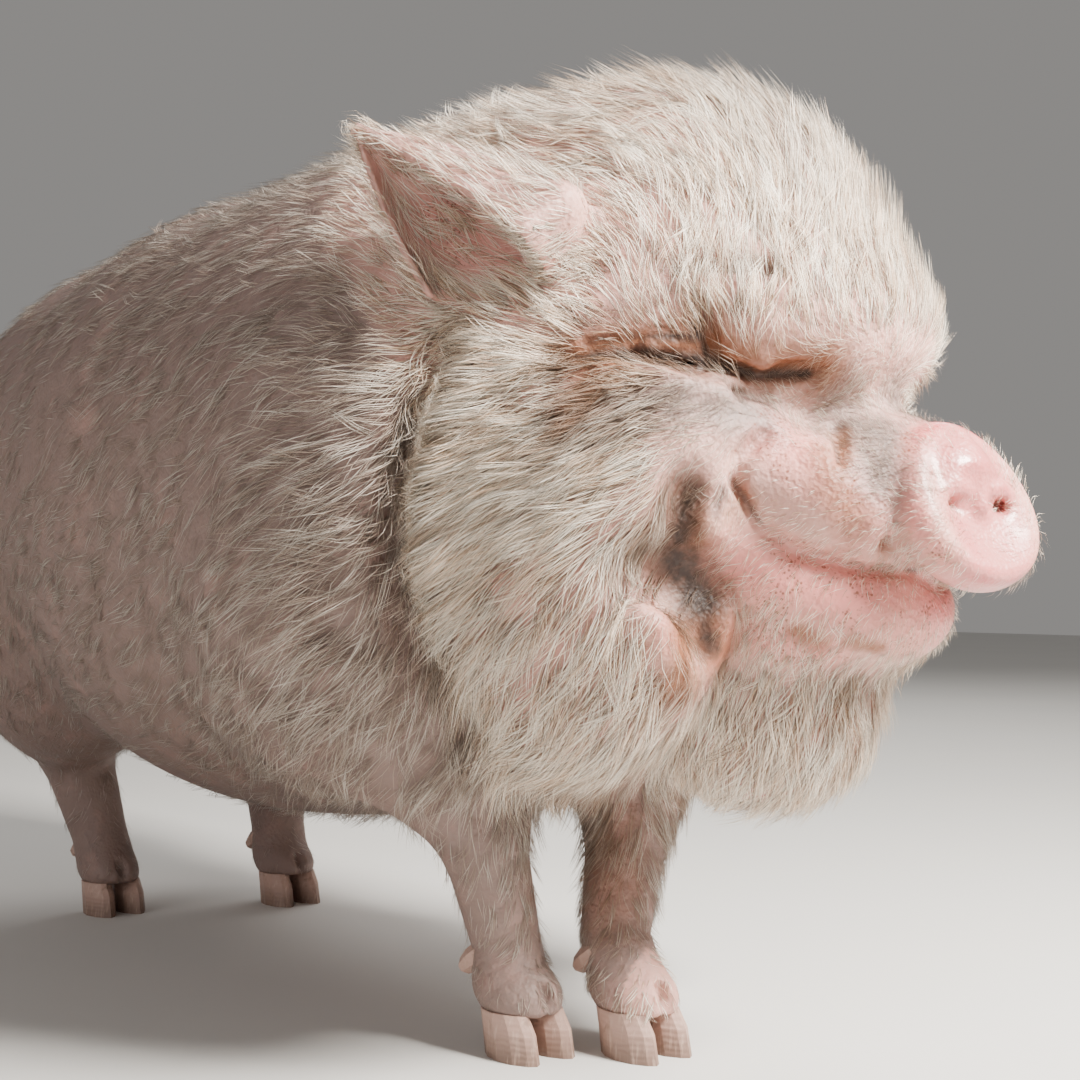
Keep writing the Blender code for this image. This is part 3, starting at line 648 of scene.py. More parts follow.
@dataclass
class Graph:
    """The nodes of one material."""

    name: str
    material: bpy.types.Material = field(init=False)

    def __post_init__(self) -> None:
        """Start the material with nothing but its shader."""
        self.material = bpy.data.materials.new(self.name)
        self.material.use_nodes = True
        self.tree = self.material.node_tree
        self.shader = self.tree.nodes["Principled BSDF"]

    def node(self, kind: str, settings: dict[str, Any], values: dict[Any, Any], output: Any = 0) -> Wire:
        """Any node.

        Args:
            kind: The node's type.
            settings: Its own settings.
            values: Values or wires by socket.
            output: Which output to read.

        Returns:
            The output as a wire.
        """
        made = self.tree.nodes.new(kind)
        for key, value in settings.items():
            setattr(made, key, value)
        for key, value in values.items():
            self.feed(made.inputs[key], value)
        return Wire(self, made.outputs[output])

    def feed(self, socket: Any, value: Any) -> None:
        """Link a wire to a socket, or set the socket's own value.

        Args:
            socket: The node's input.
            value: A wire, number or colour.
        """
        if isinstance(value, Wire):
            self.tree.links.new(value.socket, socket)
        elif isinstance(value, (tuple, list)) and len(socket.default_value) == 4 and len(value) == 3:
            socket.default_value = (*value, 1.0)
        else:
            socket.default_value = value

    def number(self, value: float) -> Wire:
        """A plain number as a wire.

        Args:
            value: The number.

        Returns:
            The wire.
        """
        made = self.tree.nodes.new("ShaderNodeValue")
        made.outputs[0].default_value = value
        return Wire(self, made.outputs[0])

    def places(self) -> Wire:
        """Where each point lies on the object."""
        return self.node("ShaderNodeTexCoord", {}, {}, "Object")

    def attribute(self, name: str, output: str = "Fac") -> Wire:
        """What the mesh keeps under a name."""
        return self.node("ShaderNodeAttribute", {"attribute_name": name}, {}, output)

    def split(self, colour: Wire) -> tuple[Wire, Wire, Wire]:
        """The parts of a colour.

        Args:
            colour: The colour.

        Returns:
            Its red, green and blue.
        """
        first = self.node("ShaderNodeSeparateColor", {}, {0: colour}, 0)
        made = first.socket.node
        return first, Wire(self, made.outputs[1]), Wire(self, made.outputs[2])

    def noise(self, scale: float, detail: float = 3.0, roughness: float = 0.5) -> Wire:
        """Cloudy noise over the object, about 0.5 on average."""
        values = {"Vector": self.places(), "Scale": scale, "Detail": detail, "Roughness": roughness}
        return self.node("ShaderNodeTexNoise", {}, values)

    def cells(self, scale: float, feature: str = "F1") -> Wire:
        """Distance to the nearest of many scattered points, or to the edge between two."""
        values = {"Vector": self.places(), "Scale": scale}
        return self.node("ShaderNodeTexVoronoi", {"feature": feature}, values)

    def mix(self, share: Any, first: Any, second: Any) -> Wire:
        """Two colours mixed by a share."""
        values = {0: share, 6: first, 7: second}
        return self.node("ShaderNodeMix", {"data_type": "RGBA"}, values, 2)

    def bump(self, height: Wire, depth: float, strength: float = 1.0) -> Wire:
        """Small relief from a height."""
        values = {"Height": height, "Distance": depth, "Strength": strength}
        return self.node("ShaderNodeBump", {}, values, "Normal")

    def finish(self, **values: Any) -> bpy.types.Material:
        """Set the shader's sockets.

        Args:
            values: Values or wires by the socket's name, with _ for a space.

        Returns:
            The material.
        """
        for key, value in values.items():
            self.feed(self.shader.inputs[key.replace("_", " ")], value)
        return self.material


class Mark(Enum):
    """A marking of skin and coat; the dark one is painted shade in the creases, the nostrils and the parting
    of the lips.
    """

    STAIN = 0
    CREASE_SHADE = 1
    PINK = 2
    WET = 3
    BARE = 4
    GREY = 5


@dataclass(frozen=True)
class Stroke:
    """A marking along a line on the head, the same on both sides, and down to a depth under it.

    Its line is given in the pad's frame where pad is set, and otherwise in the head's.
    """

    line: tuple[Point, ...]
    reach: float
    strength: float = 1.0
    depth: float = 0.0
    pad: bool = False

    def distance(self, points: Array) -> Array:
        """How far points are from the line, or from the sheet that hangs inward from it.

        Args:
            points: Places in the stroke's frame, with y counted outwards.

        Returns:
            One distance for each place.
        """
        line = np.array(self.line)
        inward = unit(np.array(HEAD_MIDDLE) - line * (1, 1, 0))
        found = Limb(line, 0.0).distance(points)
        for share in SHEET_SHARES if self.depth else ():
            found = np.minimum(found, Limb(line + inward * self.depth * share, 0.0).distance(points))
        return found


EYE_FOLD: tuple[Point, ...] = (
    (0.285, 0.150, 0.385), (0.303, 0.137, 0.386), (0.325, 0.124, 0.388), (0.351, 0.094, 0.384),
    (0.366, 0.076, 0.379), (0.385, 0.055, 0.380),
)
UPPER_FOLD: tuple[Point, ...] = (
    (0.302, 0.138, 0.393), (0.322, 0.126, 0.398), (0.345, 0.105, 0.397), (0.364, 0.082, 0.392),
)
LOWER_FOLD: tuple[Point, ...] = (
    (0.304, 0.137, 0.378), (0.328, 0.121, 0.377), (0.350, 0.098, 0.372), (0.372, 0.073, 0.368),
)
CHEEK_FOLD: tuple[Point, ...] = (
    (0.354, 0.120, 0.335), (0.357, 0.125, 0.317), (0.352, 0.135, 0.282), (0.359, 0.119, 0.263),
    (0.355, 0.104, 0.237),
)
MOUTH: tuple[Point, ...] = (
    (0.364, 0.096, 0.323), (0.370, 0.082, 0.303), (0.382, 0.062, 0.291), (0.401, 0.034, 0.282),
    (0.426, 0.016, 0.277),
)
PAD_RIM: tuple[Point, ...] = (
    (0.470, 0.000, 0.267), (0.467, 0.034, 0.273), (0.458, 0.049, 0.294), (0.446, 0.046, 0.320),
    (0.435, 0.032, 0.345), (0.430, 0.000, 0.356),
)
THROAT: tuple[Point, ...] = ((0.339, 0.023, 0.155), (0.30, 0.02, 0.145))
JOWL_FOLD: tuple[Point, ...] = (
    (0.234, 0.168, 0.395), (0.223, 0.175, 0.360), (0.213, 0.178, 0.320), (0.211, 0.176, 0.280),
    (0.217, 0.158, 0.235), (0.228, 0.125, 0.190),
)

MARKINGS: dict[Mark, tuple[Stroke, ...]] = {
    Mark.STAIN: (
        Stroke(((0.298, 0.142, 0.388), (0.325, 0.124, 0.393), (0.351, 0.094, 0.392)), 0.029, 1.0, 0.008),
        Stroke(((0.351, 0.094, 0.392), (0.366, 0.076, 0.386), (0.388, 0.052, 0.386)), 0.026, 1.0, 0.008),
        Stroke(((0.303, 0.130, 0.391), (0.309, 0.142, 0.377), (0.308, 0.146, 0.366)), 0.021, 1.0),
        Stroke(((0.318, 0.134, 0.382), (0.300, 0.147, 0.352)), 0.024, 1.0),
        Stroke(((0.355, 0.128, 0.310), (0.357, 0.124, 0.265), (0.345, 0.118, 0.218)), 0.025, 1.0, 0.014),
        Stroke(((0.400, 0.068, 0.335), (0.406, 0.072, 0.318), (0.412, 0.062, 0.303)), 0.019, 0.72),
        Stroke(((0.366, 0.090, 0.316), (0.362, 0.100, 0.306)), 0.014, 0.6),
        Stroke(((0.380, 0.062, 0.246), (0.388, 0.054, 0.240)), 0.010, 0.95),
        Stroke(((0.402, 0.044, 0.241), (0.411, 0.033, 0.238)), 0.009, 0.95),
        Stroke(((0.418, 0.040, 0.288), (0.400, 0.058, 0.296)), 0.010, 0.55),
        Stroke(((0.250, 0.050, 0.150), (0.235, 0.050, 0.100)), 0.060, 0.55),
        Stroke(((0.396, 0.046, 0.349), (0.408, 0.066, 0.325)), 0.010, 0.9),
        Stroke(((0.386, 0.017, 0.205), (0.350, 0.030, 0.180)), 0.030, 0.5),
        Stroke(CHEEK_FOLD[2:], 0.0340, 1.0, 0.020),
        Stroke(((0.350, 0.136, 0.262), (0.344, 0.130, 0.240)), 0.022, 0.4),
    ),
    # painted shade: near black along the folds of the eyes and cheeks, in the nostrils and in the parting of
    # the lips
    Mark.CREASE_SHADE: (
        Stroke(((0.461, 0.010, 0.309), (0.449, 0.024, 0.312)), 0.0032, 0.85, pad=True),
        Stroke(((0.396, 0.048, 0.350), (0.406, 0.063, 0.331)), 0.0032, 0.6, 0.003),
        Stroke(EYE_FOLD[1:4], 0.0088, 1.0, 0.010),
        Stroke(EYE_FOLD[3:], 0.0062, 1.0, 0.008),
        Stroke(UPPER_FOLD[:3], 0.0050, 0.95, 0.004),
        Stroke(LOWER_FOLD, 0.0040, 0.8, 0.004),
        Stroke(((0.346, 0.106, 0.404), (0.350, 0.098, 0.388)), 0.005, 1.0, 0.006),
        Stroke(((0.296, 0.146, 0.382), (0.288, 0.152, 0.372)), 0.010, 0.7),
        Stroke(CHEEK_FOLD[1:3], 0.0170, 0.95, 0.016),
        Stroke(CHEEK_FOLD[2:4], 0.0280, 1.0, 0.024),
        Stroke(CHEEK_FOLD[3:], 0.0105, 0.8, 0.016),
        Stroke(((0.362, 0.104, 0.318), (0.360, 0.108, 0.306)), 0.0075, 0.7),
        Stroke(MOUTH[:2], 0.0032, 0.6, 0.004),
        Stroke(MOUTH[1:], 0.0030, 0.8, 0.004),
    ),
    Mark.PINK: (
        Stroke(((0.377, 0.075, 0.345), (0.395, 0.065, 0.325), (0.41, 0.05, 0.305)), 0.030, 0.85),
        Stroke(((0.36, 0.09, 0.28), (0.40, 0.05, 0.265), (0.43, 0.0, 0.25)), 0.034, 1.0),
        Stroke(((0.35, 0.09, 0.24), (0.39, 0.05, 0.235)), 0.026, 0.7),
        Stroke(((0.352, 0.136, 0.262), (0.350, 0.130, 0.245)), 0.018, 0.6),
        Stroke(THROAT, 0.028, 0.95),
        Stroke(((0.27, 0.158, 0.43), (0.23, 0.172, 0.47)), 0.034, 0.7),
        Stroke(PAD_RIM, 0.016, 1.0, pad=True),
        Stroke(((0.452, 0.0, 0.335), (0.456, 0.0, 0.29)), 0.080, 0.6, pad=True),
    ),
    Mark.WET: (
        Stroke(((0.450, 0.0, 0.345), (0.456, 0.0, 0.275)), 0.060, 0.8, pad=True),
        Stroke(((0.455, 0.012, 0.312), (0.449, 0.024, 0.314)), 0.010, 1.0, pad=True),
        Stroke(EYE_FOLD[2:4], 0.006, 0.7),
    ),
    Mark.BARE: (
        Stroke(((0.308, 0.134, 0.388), (0.306, 0.146, 0.364)), 0.016, 0.95),
        Stroke(((0.450, 0.0, 0.345), (0.456, 0.0, 0.275)), 0.058, 1.0, pad=True),
        Stroke(PAD_RIM, 0.013, 1.0, pad=True),
        Stroke(((0.37, 0.085, 0.34), (0.395, 0.065, 0.32), (0.41, 0.045, 0.30)), 0.026, 0.9),
        Stroke(((0.38, 0.075, 0.275), (0.41, 0.045, 0.262), (0.432, 0.0, 0.255)), 0.022, 0.85),
        Stroke(((0.396, 0.046, 0.349), (0.408, 0.066, 0.328)), 0.007, 0.9),
        Stroke(((0.380, 0.062, 0.246), (0.411, 0.033, 0.238)), 0.012, 0.7),
        Stroke(THROAT, 0.022, 0.7),
        Stroke(EYE_FOLD[1:], 0.0135, 0.97, 0.006),
        Stroke(CHEEK_FOLD[1:], 0.0150, 0.98, 0.016),
        Stroke(CHEEK_FOLD[2:5], 0.0300, 1.0, 0.022),
        Stroke(((0.350, 0.136, 0.262), (0.346, 0.132, 0.242)), 0.012, 0.55),
        Stroke(((0.262, 0.168, 0.44), (0.235, 0.176, 0.465)), 0.013, 0.6),
    ),
    Mark.GREY: (
        Stroke(((0.374, 0.084, 0.360), (0.345, 0.118, 0.362), (0.305, 0.154, 0.352)), 0.030, 1.0),
        Stroke(((0.374, 0.084, 0.362), (0.398, 0.046, 0.372), (0.412, 0.030, 0.356)), 0.024, 1.0),
        Stroke(((0.396, 0.044, 0.362), (0.412, 0.034, 0.350), (0.420, 0.046, 0.326)), 0.034, 1.0),
        Stroke(((0.400, 0.0, 0.375), (0.425, 0.0, 0.360)), 0.025, 1.0),
        Stroke(((0.333, 0.109, 0.436), (0.352, 0.097, 0.437), (0.374, 0.078, 0.435)), 0.012, 1.0),
        Stroke(((0.352, 0.122, 0.335), (0.346, 0.134, 0.300), (0.330, 0.145, 0.270)), 0.022, 0.3),
        Stroke(((0.330, 0.120, 0.420), (0.300, 0.140, 0.405)), 0.014, 0.6),
        Stroke(((0.262, 0.168, 0.44), (0.225, 0.178, 0.475)), 0.026, 0.3),
        Stroke(((0.345, 0.030, 0.505), (0.300, 0.020, 0.548)), 0.050, 0.6),
    ),
}


EDGE_HEIGHTS = (0.15, 0.19, 0.28, 0.36, 0.42, 0.55)
EDGE_PLACES = (0.246, 0.238, 0.221, 0.231, 0.205, 0.13)
LEG_TOP = 0.19
LEG_FRONT = 0.26
# the legs take part of the trunk's darkening: partly dirt, partly painted shade
LEG_DIRT_AND_SHADE = 0.75


def trunk_dirt_and_shade(points: Array) -> Array:
    """How far places take the darker trunk colour behind the jowls, partly dirt and partly painted shade.

    Args:
        points: Places in the animal's frame.

    Returns:
        0 on the head, 1 on the trunk and LEG_DIRT_AND_SHADE on the legs.
    """
    local = moved(np.linalg.inv(np.array(turned(1))), points)
    height = local[:, 2]
    edge = np.interp(height, EDGE_HEIGHTS, EDGE_PLACES)
    width = np.interp(height, (0.40, 0.50), (0.02, 0.08))
    leg = LEG_DIRT_AND_SHADE * smooth_step((LEG_TOP - height) / 0.05) * (local[:, 0] < LEG_FRONT)
    return np.maximum(smooth_step((edge - local[:, 0]) / width), leg)


def markings(points: Array) -> Array:
    """How strong each marking is at places of the animal.

    Args:
        points: Places in the animal's frame.

    Returns:
        One row a place, one column a marking.
    """
    places = {}
    for pad, matrix in ((False, turned(1)), (True, pad_frame())):
        places[pad] = moved(np.linalg.inv(np.array(matrix)), points)
        places[pad][:, 1] = np.abs(places[pad][:, 1])
    found = np.zeros((len(points), len(Mark)))
    for mark, strokes in MARKINGS.items():
        column = found[:, mark.value]
        for stroke in strokes:
            nearness = 1 - smooth_step(stroke.distance(places[stroke.pad]) / stroke.reach)
            np.maximum(column, nearness * stroke.strength, out=column)
    return found


@dataclass(frozen=True)
class Crease:
    """A groove, or with lift a roll, that runs along a line on the head, the same on both sides."""

    line: tuple[Point, ...]
    width: float
    lift: bool = False


CREASES: tuple[Crease, ...] = (
    Crease(EYE_FOLD, 0.0065),
    Crease(UPPER_FOLD, 0.0038),
    Crease(LOWER_FOLD, 0.0036),
    Crease(CHEEK_FOLD[1:], 0.0120),
    Crease(CHEEK_FOLD[2:4], 0.0190),
    Crease(JOWL_FOLD, 0.0170),
    Crease(((0.347, 0.145, 0.266), (0.347, 0.141, 0.250), (0.345, 0.130, 0.232)), 0.0070, True),
    Crease(((0.392, 0.042, 0.352), (0.398, 0.050, 0.345), (0.405, 0.062, 0.332)), 0.0040),
    Crease(((0.310, 0.133, 0.368), (0.330, 0.118, 0.366), (0.352, 0.097, 0.361)), 0.0060, True),
    Crease(((0.345, 0.107, 0.416), (0.350, 0.100, 0.402), (0.352, 0.096, 0.386)), 0.0042),
    Crease(((0.330, 0.119, 0.394), (0.343, 0.105, 0.397)), 0.0050, True),
    Crease(((0.357, 0.090, 0.391), (0.368, 0.076, 0.386)), 0.0048, True),
    Crease(((0.352, 0.097, 0.379), (0.361, 0.085, 0.377)), 0.0034, True),
    Crease(((0.333, 0.109, 0.434), (0.352, 0.097, 0.437), (0.374, 0.078, 0.434)), 0.0038),
    Crease(((0.366, 0.080, 0.345), (0.362, 0.094, 0.335), (0.366, 0.096, 0.323)), 0.0045),
    Crease(MOUTH, 0.0034),
)


@dataclass(frozen=True)
class Leg:
    """One leg: its side, its places from the body down to the pastern, and how thick it is there."""

    side: int
    line: tuple[Point, ...]
    radii: tuple[float, ...]


FORE_RADII = (0.075, 0.050, 0.027, 0.022, 0.024)
HIND_RADII = (0.08, 0.060, 0.031, 0.024, 0.025)
LEGS: tuple[Leg, ...] = (
    Leg(-1, (
        (0.150, 0.125, 0.26), (0.166, 0.102, 0.205), (0.199, 0.061, 0.125), (0.202, 0.046, 0.062),
        (0.206, 0.046, 0.042),
    ), FORE_RADII),
    Leg(-1, (
        (-0.31, 0.125, 0.27), (-0.31, 0.105, 0.20), (-0.362, 0.080, 0.132), (-0.335, 0.070, 0.062),
        (-0.328, 0.068, 0.042),
    ), HIND_RADII),
    Leg(1, (
        (0.165, 0.125, 0.26), (0.180, 0.095, 0.205), (0.217, 0.036, 0.125), (0.235, 0.010, 0.062),
        (0.246, 0.008, 0.042),
    ), FORE_RADII),
    Leg(1, (
        (-0.29, 0.125, 0.27), (-0.27, 0.105, 0.20), (-0.312, 0.080, 0.132), (-0.283, 0.070, 0.062),
        (-0.276, 0.068, 0.042),
    ), HIND_RADII),
)


@dataclass
class Animal:
    """The animal's whole form, from its driving sizes."""

    cell: float
    long_cell: float
    clay: Clay = field(init=False)

    eye_look: float = 52.0
    foot_step: float = 0.006
    upper_lip: tuple[Point, ...] = (
        (0.362, 0.060, 0.322), (0.385, 0.049, 0.315), (0.403, 0.037, 0.305), (0.418, 0.027, 0.297),
    )
    lower_lip: tuple[Point, ...] = (
        (0.350, 0.078, 0.284), (0.372, 0.056, 0.270), (0.398, 0.026, 0.260), (0.410, 0.006, 0.257),
    )
    lip_line: tuple[Point, ...] = (
        (0.350, 0.080, 0.320), (0.356, 0.070, 0.302), (0.368, 0.050, 0.291), (0.388, 0.024, 0.283),
        (0.410, 0.006, 0.279),
    )
    bridge_flank: tuple[Point, ...] = ((0.384, 0.026, 0.338), (0.400, 0.026, 0.332), (0.414, 0.024, 0.322))
    pad_ridge: tuple[Point, ...] = ((0.439, 0, 0.347), (0.4500, 0, 0.324), (0.4550, 0, 0.310))
    nostril: tuple[Point, ...] = ((0.459, 0.012, 0.309), (0.452, 0.019, 0.311), (0.446, 0.024, 0.313))
    nostril_hood: tuple[Point, ...] = (
        (0.453, 0.011, 0.319), (0.4525, 0.018, 0.3205), (0.450, 0.025, 0.318),
    )
    lip_front: tuple[Point, ...] = ((0.43, -0.03, 0.272), (0.436, 0, 0.268), (0.43, 0.03, 0.272))
    tail_root: tuple[Point, ...] = (
        (-0.480, 0, 0.432), (-0.505, 0, 0.434), (-0.525, 0, 0.430), (-0.540, 0, 0.420),
        (-0.549, 0.001, 0.403),
    )

    def shape(self) -> Clay:
        """Model the animal: the coated masses first, then the bare parts over the skin's own depth.

        Returns:
            The shaped clay.
        """
        fine = np.arange(0.13, 0.52, self.cell)
        coarse = np.arange(-0.60, 0.13 - self.long_cell / 2, self.long_cell)
        wide = np.arange(-0.29, 0.29, self.cell)
        high = np.arange(-0.006, 0.60, self.cell)
        self.clay = Clay((np.concatenate((coarse, fine)), wide, high))
        straight, ahead = np.eye(4), turned(1)
        self.model(straight, self.trunk)
        self.model(turned(0.7), self.neck)
        self.model(straight, self.legs)
        self.model(ahead, self.head)
        self.model(straight, self.tail)
        self.clay.field += COAT_DEPTH
        self.model(ahead, self.bridge)
        self.model(pad_frame(), self.snout)
        self.model(ahead, self.ears)
        self.model(ahead, self.face)
        self.model(straight, self.soles)
        return self.clay

    def model(self, frame: Matrix | Array, build: Callable[[], None]) -> None:
        """Build a group of forms in a frame."""
        self.clay.turn(frame)
        build()

    def trunk(self) -> None:
        """The round body."""
        clay, top, half = self.clay, BACK_HEIGHT, TRUNK_HALF_WIDTH
        clay.add(Ellipsoid((-0.10, 0, 0.338), (0.33, half, 0.222)), 0.05)
        clay.add(Ellipsoid((-0.33, 0, 0.345), (0.185, 0.19, top - 0.355)), 0.08)
        clay.add(Ellipsoid((0.12, 0, 0.35), (0.19, 0.19, top - 0.35)), 0.08)
        clay.add(Ellipsoid((-0.05, 0, 0.245), (0.25, 0.17, 0.125)), 0.06)
        clay.add(Ellipsoid((0.20, -0.01, 0.245), (0.085, 0.10, 0.10)), 0.05)
        for side in SIDES.values():
            clay.add(Ellipsoid(both((-0.34, 0.11, 0.28), side), (0.13, 0.085, 0.15), (0, -12, 0)), 0.05)
            clay.add(Ellipsoid(both((0.14, 0.12, 0.29), side), (0.11, 0.075, 0.14), (0, 10, 0)), 0.05)

    def neck(self) -> None:
        """The thick neck, turned part of the way with the head."""
        self.clay.add(Ellipsoid((0.20, 0, 0.395), (0.15, 0.148, 0.16)), 0.06)
        self.clay.add(Ellipsoid((0.22, 0, 0.27), (0.12, 0.11, 0.09)), 0.05)

    def feet(self) -> Iterator[tuple[float, float]]:
        """Where each foot stands, a little ahead of its pastern."""
        for leg in LEGS:
            x, y, _ = leg.line[-1]
            yield x + self.foot_step, y * leg.side

    def legs(self) -> None:
        """The four legs down to the pasterns."""
        for leg in LEGS:
            points = mirrored(leg.line, leg.side)
            self.clay.add(Limb(points[:3], leg.radii[:3]), 0.03)
            self.clay.add(Limb(points[2:], leg.radii[2:]), 0.008)
        for x, y in self.feet():
            self.clay.add(Ellipsoid((x + 0.004, y, 0.033), (0.029, 0.0245, 0.020), (0, 8, 0)), 0.006)
            self.clay.carve(Limb(((x + 0.036, y, 0.020), (x + 0.024, y, 0.040)), 0.0022), 0.003)

    def soles(self) -> None:
        """End each leg flat, just inside the top of its claws."""
        for x, y in self.feet():
            self.clay.flat(HOOF_HEIGHT - 0.002, (x - 0.06, y - 0.035, -1), (x + 0.06, y + 0.035, 0.06))

    def head(self) -> None:
        """Skull, cheeks, jowls, muzzle, lips and beard pouch."""
        clay = self.clay
        clay.add(Ellipsoid((0.265, 0, 0.422), (0.124, 0.121, 0.137)), 0.04)
        clay.add(Ellipsoid((0.354, 0, 0.408), (0.060, 0.092, 0.050)), 0.025)
        for side in SIDES.values():
            cheekbone = Ellipsoid(both((0.31, 0.085, 0.345), side), (0.07, 0.05, 0.032), (0, 0, -25 * side))
            clay.add(cheekbone, 0.02)
            clay.add(Ellipsoid(both((0.265, 0.10, 0.29), side), (0.10, 0.072, 0.122)), 0.022)
            clay.add(Limb(mirrored(self.upper_lip, side), (0.034, 0.034, 0.028, 0.020)), 0.012)
        clay.add(Limb([(0.35, 0, 0.335), (0.428, 0, 0.318)], (0.055, 0.034)), 0.02)
        clay.add(Ellipsoid((0.345, 0, 0.252), (0.060, 0.074, 0.046)), 0.012)
        clay.add(Ellipsoid((0.378, 0, 0.256), (0.054, 0.060, 0.036)), 0.012)
        clay.add(Ellipsoid((0.32, 0, 0.20), (0.065, 0.060, 0.055)), 0.02)
        for side in SIDES.values():
            clay.add(Limb(mirrored(self.lip_line, side), 0.020), 0.010)
            clay.add(Limb(mirrored(self.lower_lip, side), (0.019, 0.021, 0.021, 0.019)), 0.010)

    def bridge(self) -> None:
        """The flanks of the bridge, between the upper lip and the pad."""
        for side in SIDES.values():
            self.clay.add(Limb(mirrored(self.bridge_flank, side), (0.020, 0.021, 0.022)), 0.010)

    def snout(self) -> None:
        """The pad at the end of the snout, a little hollow, with a ridge and two half-shut nostrils."""
        clay = self.clay
        angles = np.linspace(-0.25 * math.pi, 1.25 * math.pi, 28)
        rise, spread = np.sin(angles), np.cos(angles)
        groove = np.stack((0.424 - 0.02 * rise, 0.052 * spread, 0.310 + 0.045 * rise), -1)
        clay.carve(Limb(groove, 0.0035 + 0.0042 * smooth_step(rise * 1.6)), 0.005)
        clay.add(Plate(PAD_CENTRE, 25, 0.0475, (0.053, 0.042), 0.0135, 0.0110), 0.003)
        clay.carve(Ellipsoid((0.4705, 0, 0.304), (0.0160, 0.037, 0.029), (0, -25, 0)), 0.006)
        clay.add(Limb(self.pad_ridge, (0.0045, 0.005, 0.0035)), 0.008)
        for side in SIDES.values():
            clay.carve(Limb(mirrored(self.nostril, side), 0.0042), 0.004)
            clay.add(Limb(mirrored(self.nostril_hood, side), 0.0035), 0.005)

    def ears(self) -> None:
        """Both ears, each a thin trough that grows out of the head, with its root filled in front."""
        for side in SIDES.values():
            self.clay.add(Ear(side), 0.012)
            self.clay.add(Ellipsoid(both((0.289, 0.146, 0.4635), side), (0.013, 0.0105, 0.013)), 0.010)

    def face(self) -> None:
        """Folds and rolls, the sockets and lids of the eyes, and the parting of the lips in front."""
        clay = self.clay
        for side in SIDES.values():
            for crease in CREASES:
                line = clay.snap(mirrored(crease.line, side))
                if crease.lift:
                    clay.add(Limb(line, crease.width), crease.width * 1.6)
                else:
                    clay.carve(Limb(line, crease.width), crease.width * 0.8)
            clay.carve(Ellipsoid(both(EYE_CENTRE, side), (EYE_RADIUS + 0.0004,) * 3), 0.0015)
            for height, radius in ((20, 0.0033), (-19, 0.0031)):
                clay.add(Limb(self.lid(side, height), radius), 0.002)
        clay.carve(Limb(clay.snap(self.lip_front), 0.004), 0.003)

    def lid(self, side: int, height: float) -> list[Point]:
        """A line over the eyeball that a lid's edge follows.

        Args:
            side: -1 for the right, 1 for the left.
            height: Degrees above the middle of the eye.

        Returns:
            Places from the inner to the outer corner.
        """
        line = []
        for angle in np.linspace(-75, 75, 9):
            around = math.radians(self.eye_look + angle)
            rise = math.radians(height) * (1 - abs(angle / 80) ** 2)
            reach = EYE_RADIUS + 0.0016
            x, y, z = EYE_CENTRE
            flat = reach * math.cos(rise)
            place = (x + flat * math.cos(around), y + flat * math.sin(around), z + reach * math.sin(rise))
            line.append(both(place, side))
        return line

    def tail(self) -> None:
        """A straight hanging tail."""
        path = list(self.tail_root)
        for share in np.linspace(0, 1, 6):
            path.append((-0.553 - 0.004 * math.sin(3 * share), 0.006 * share, 0.38 - 0.12 * share))
        self.clay.add(Limb(path, np.linspace(0.017, 0.006, len(path))), 0.008)


@dataclass(frozen=True)
class Comb:
    """How the hair lies near one place: its way, length, lift off the skin and how much of it there is."""

    place: Point
    way: Point
    length: float
    lift: float
    amount: float = 1.0


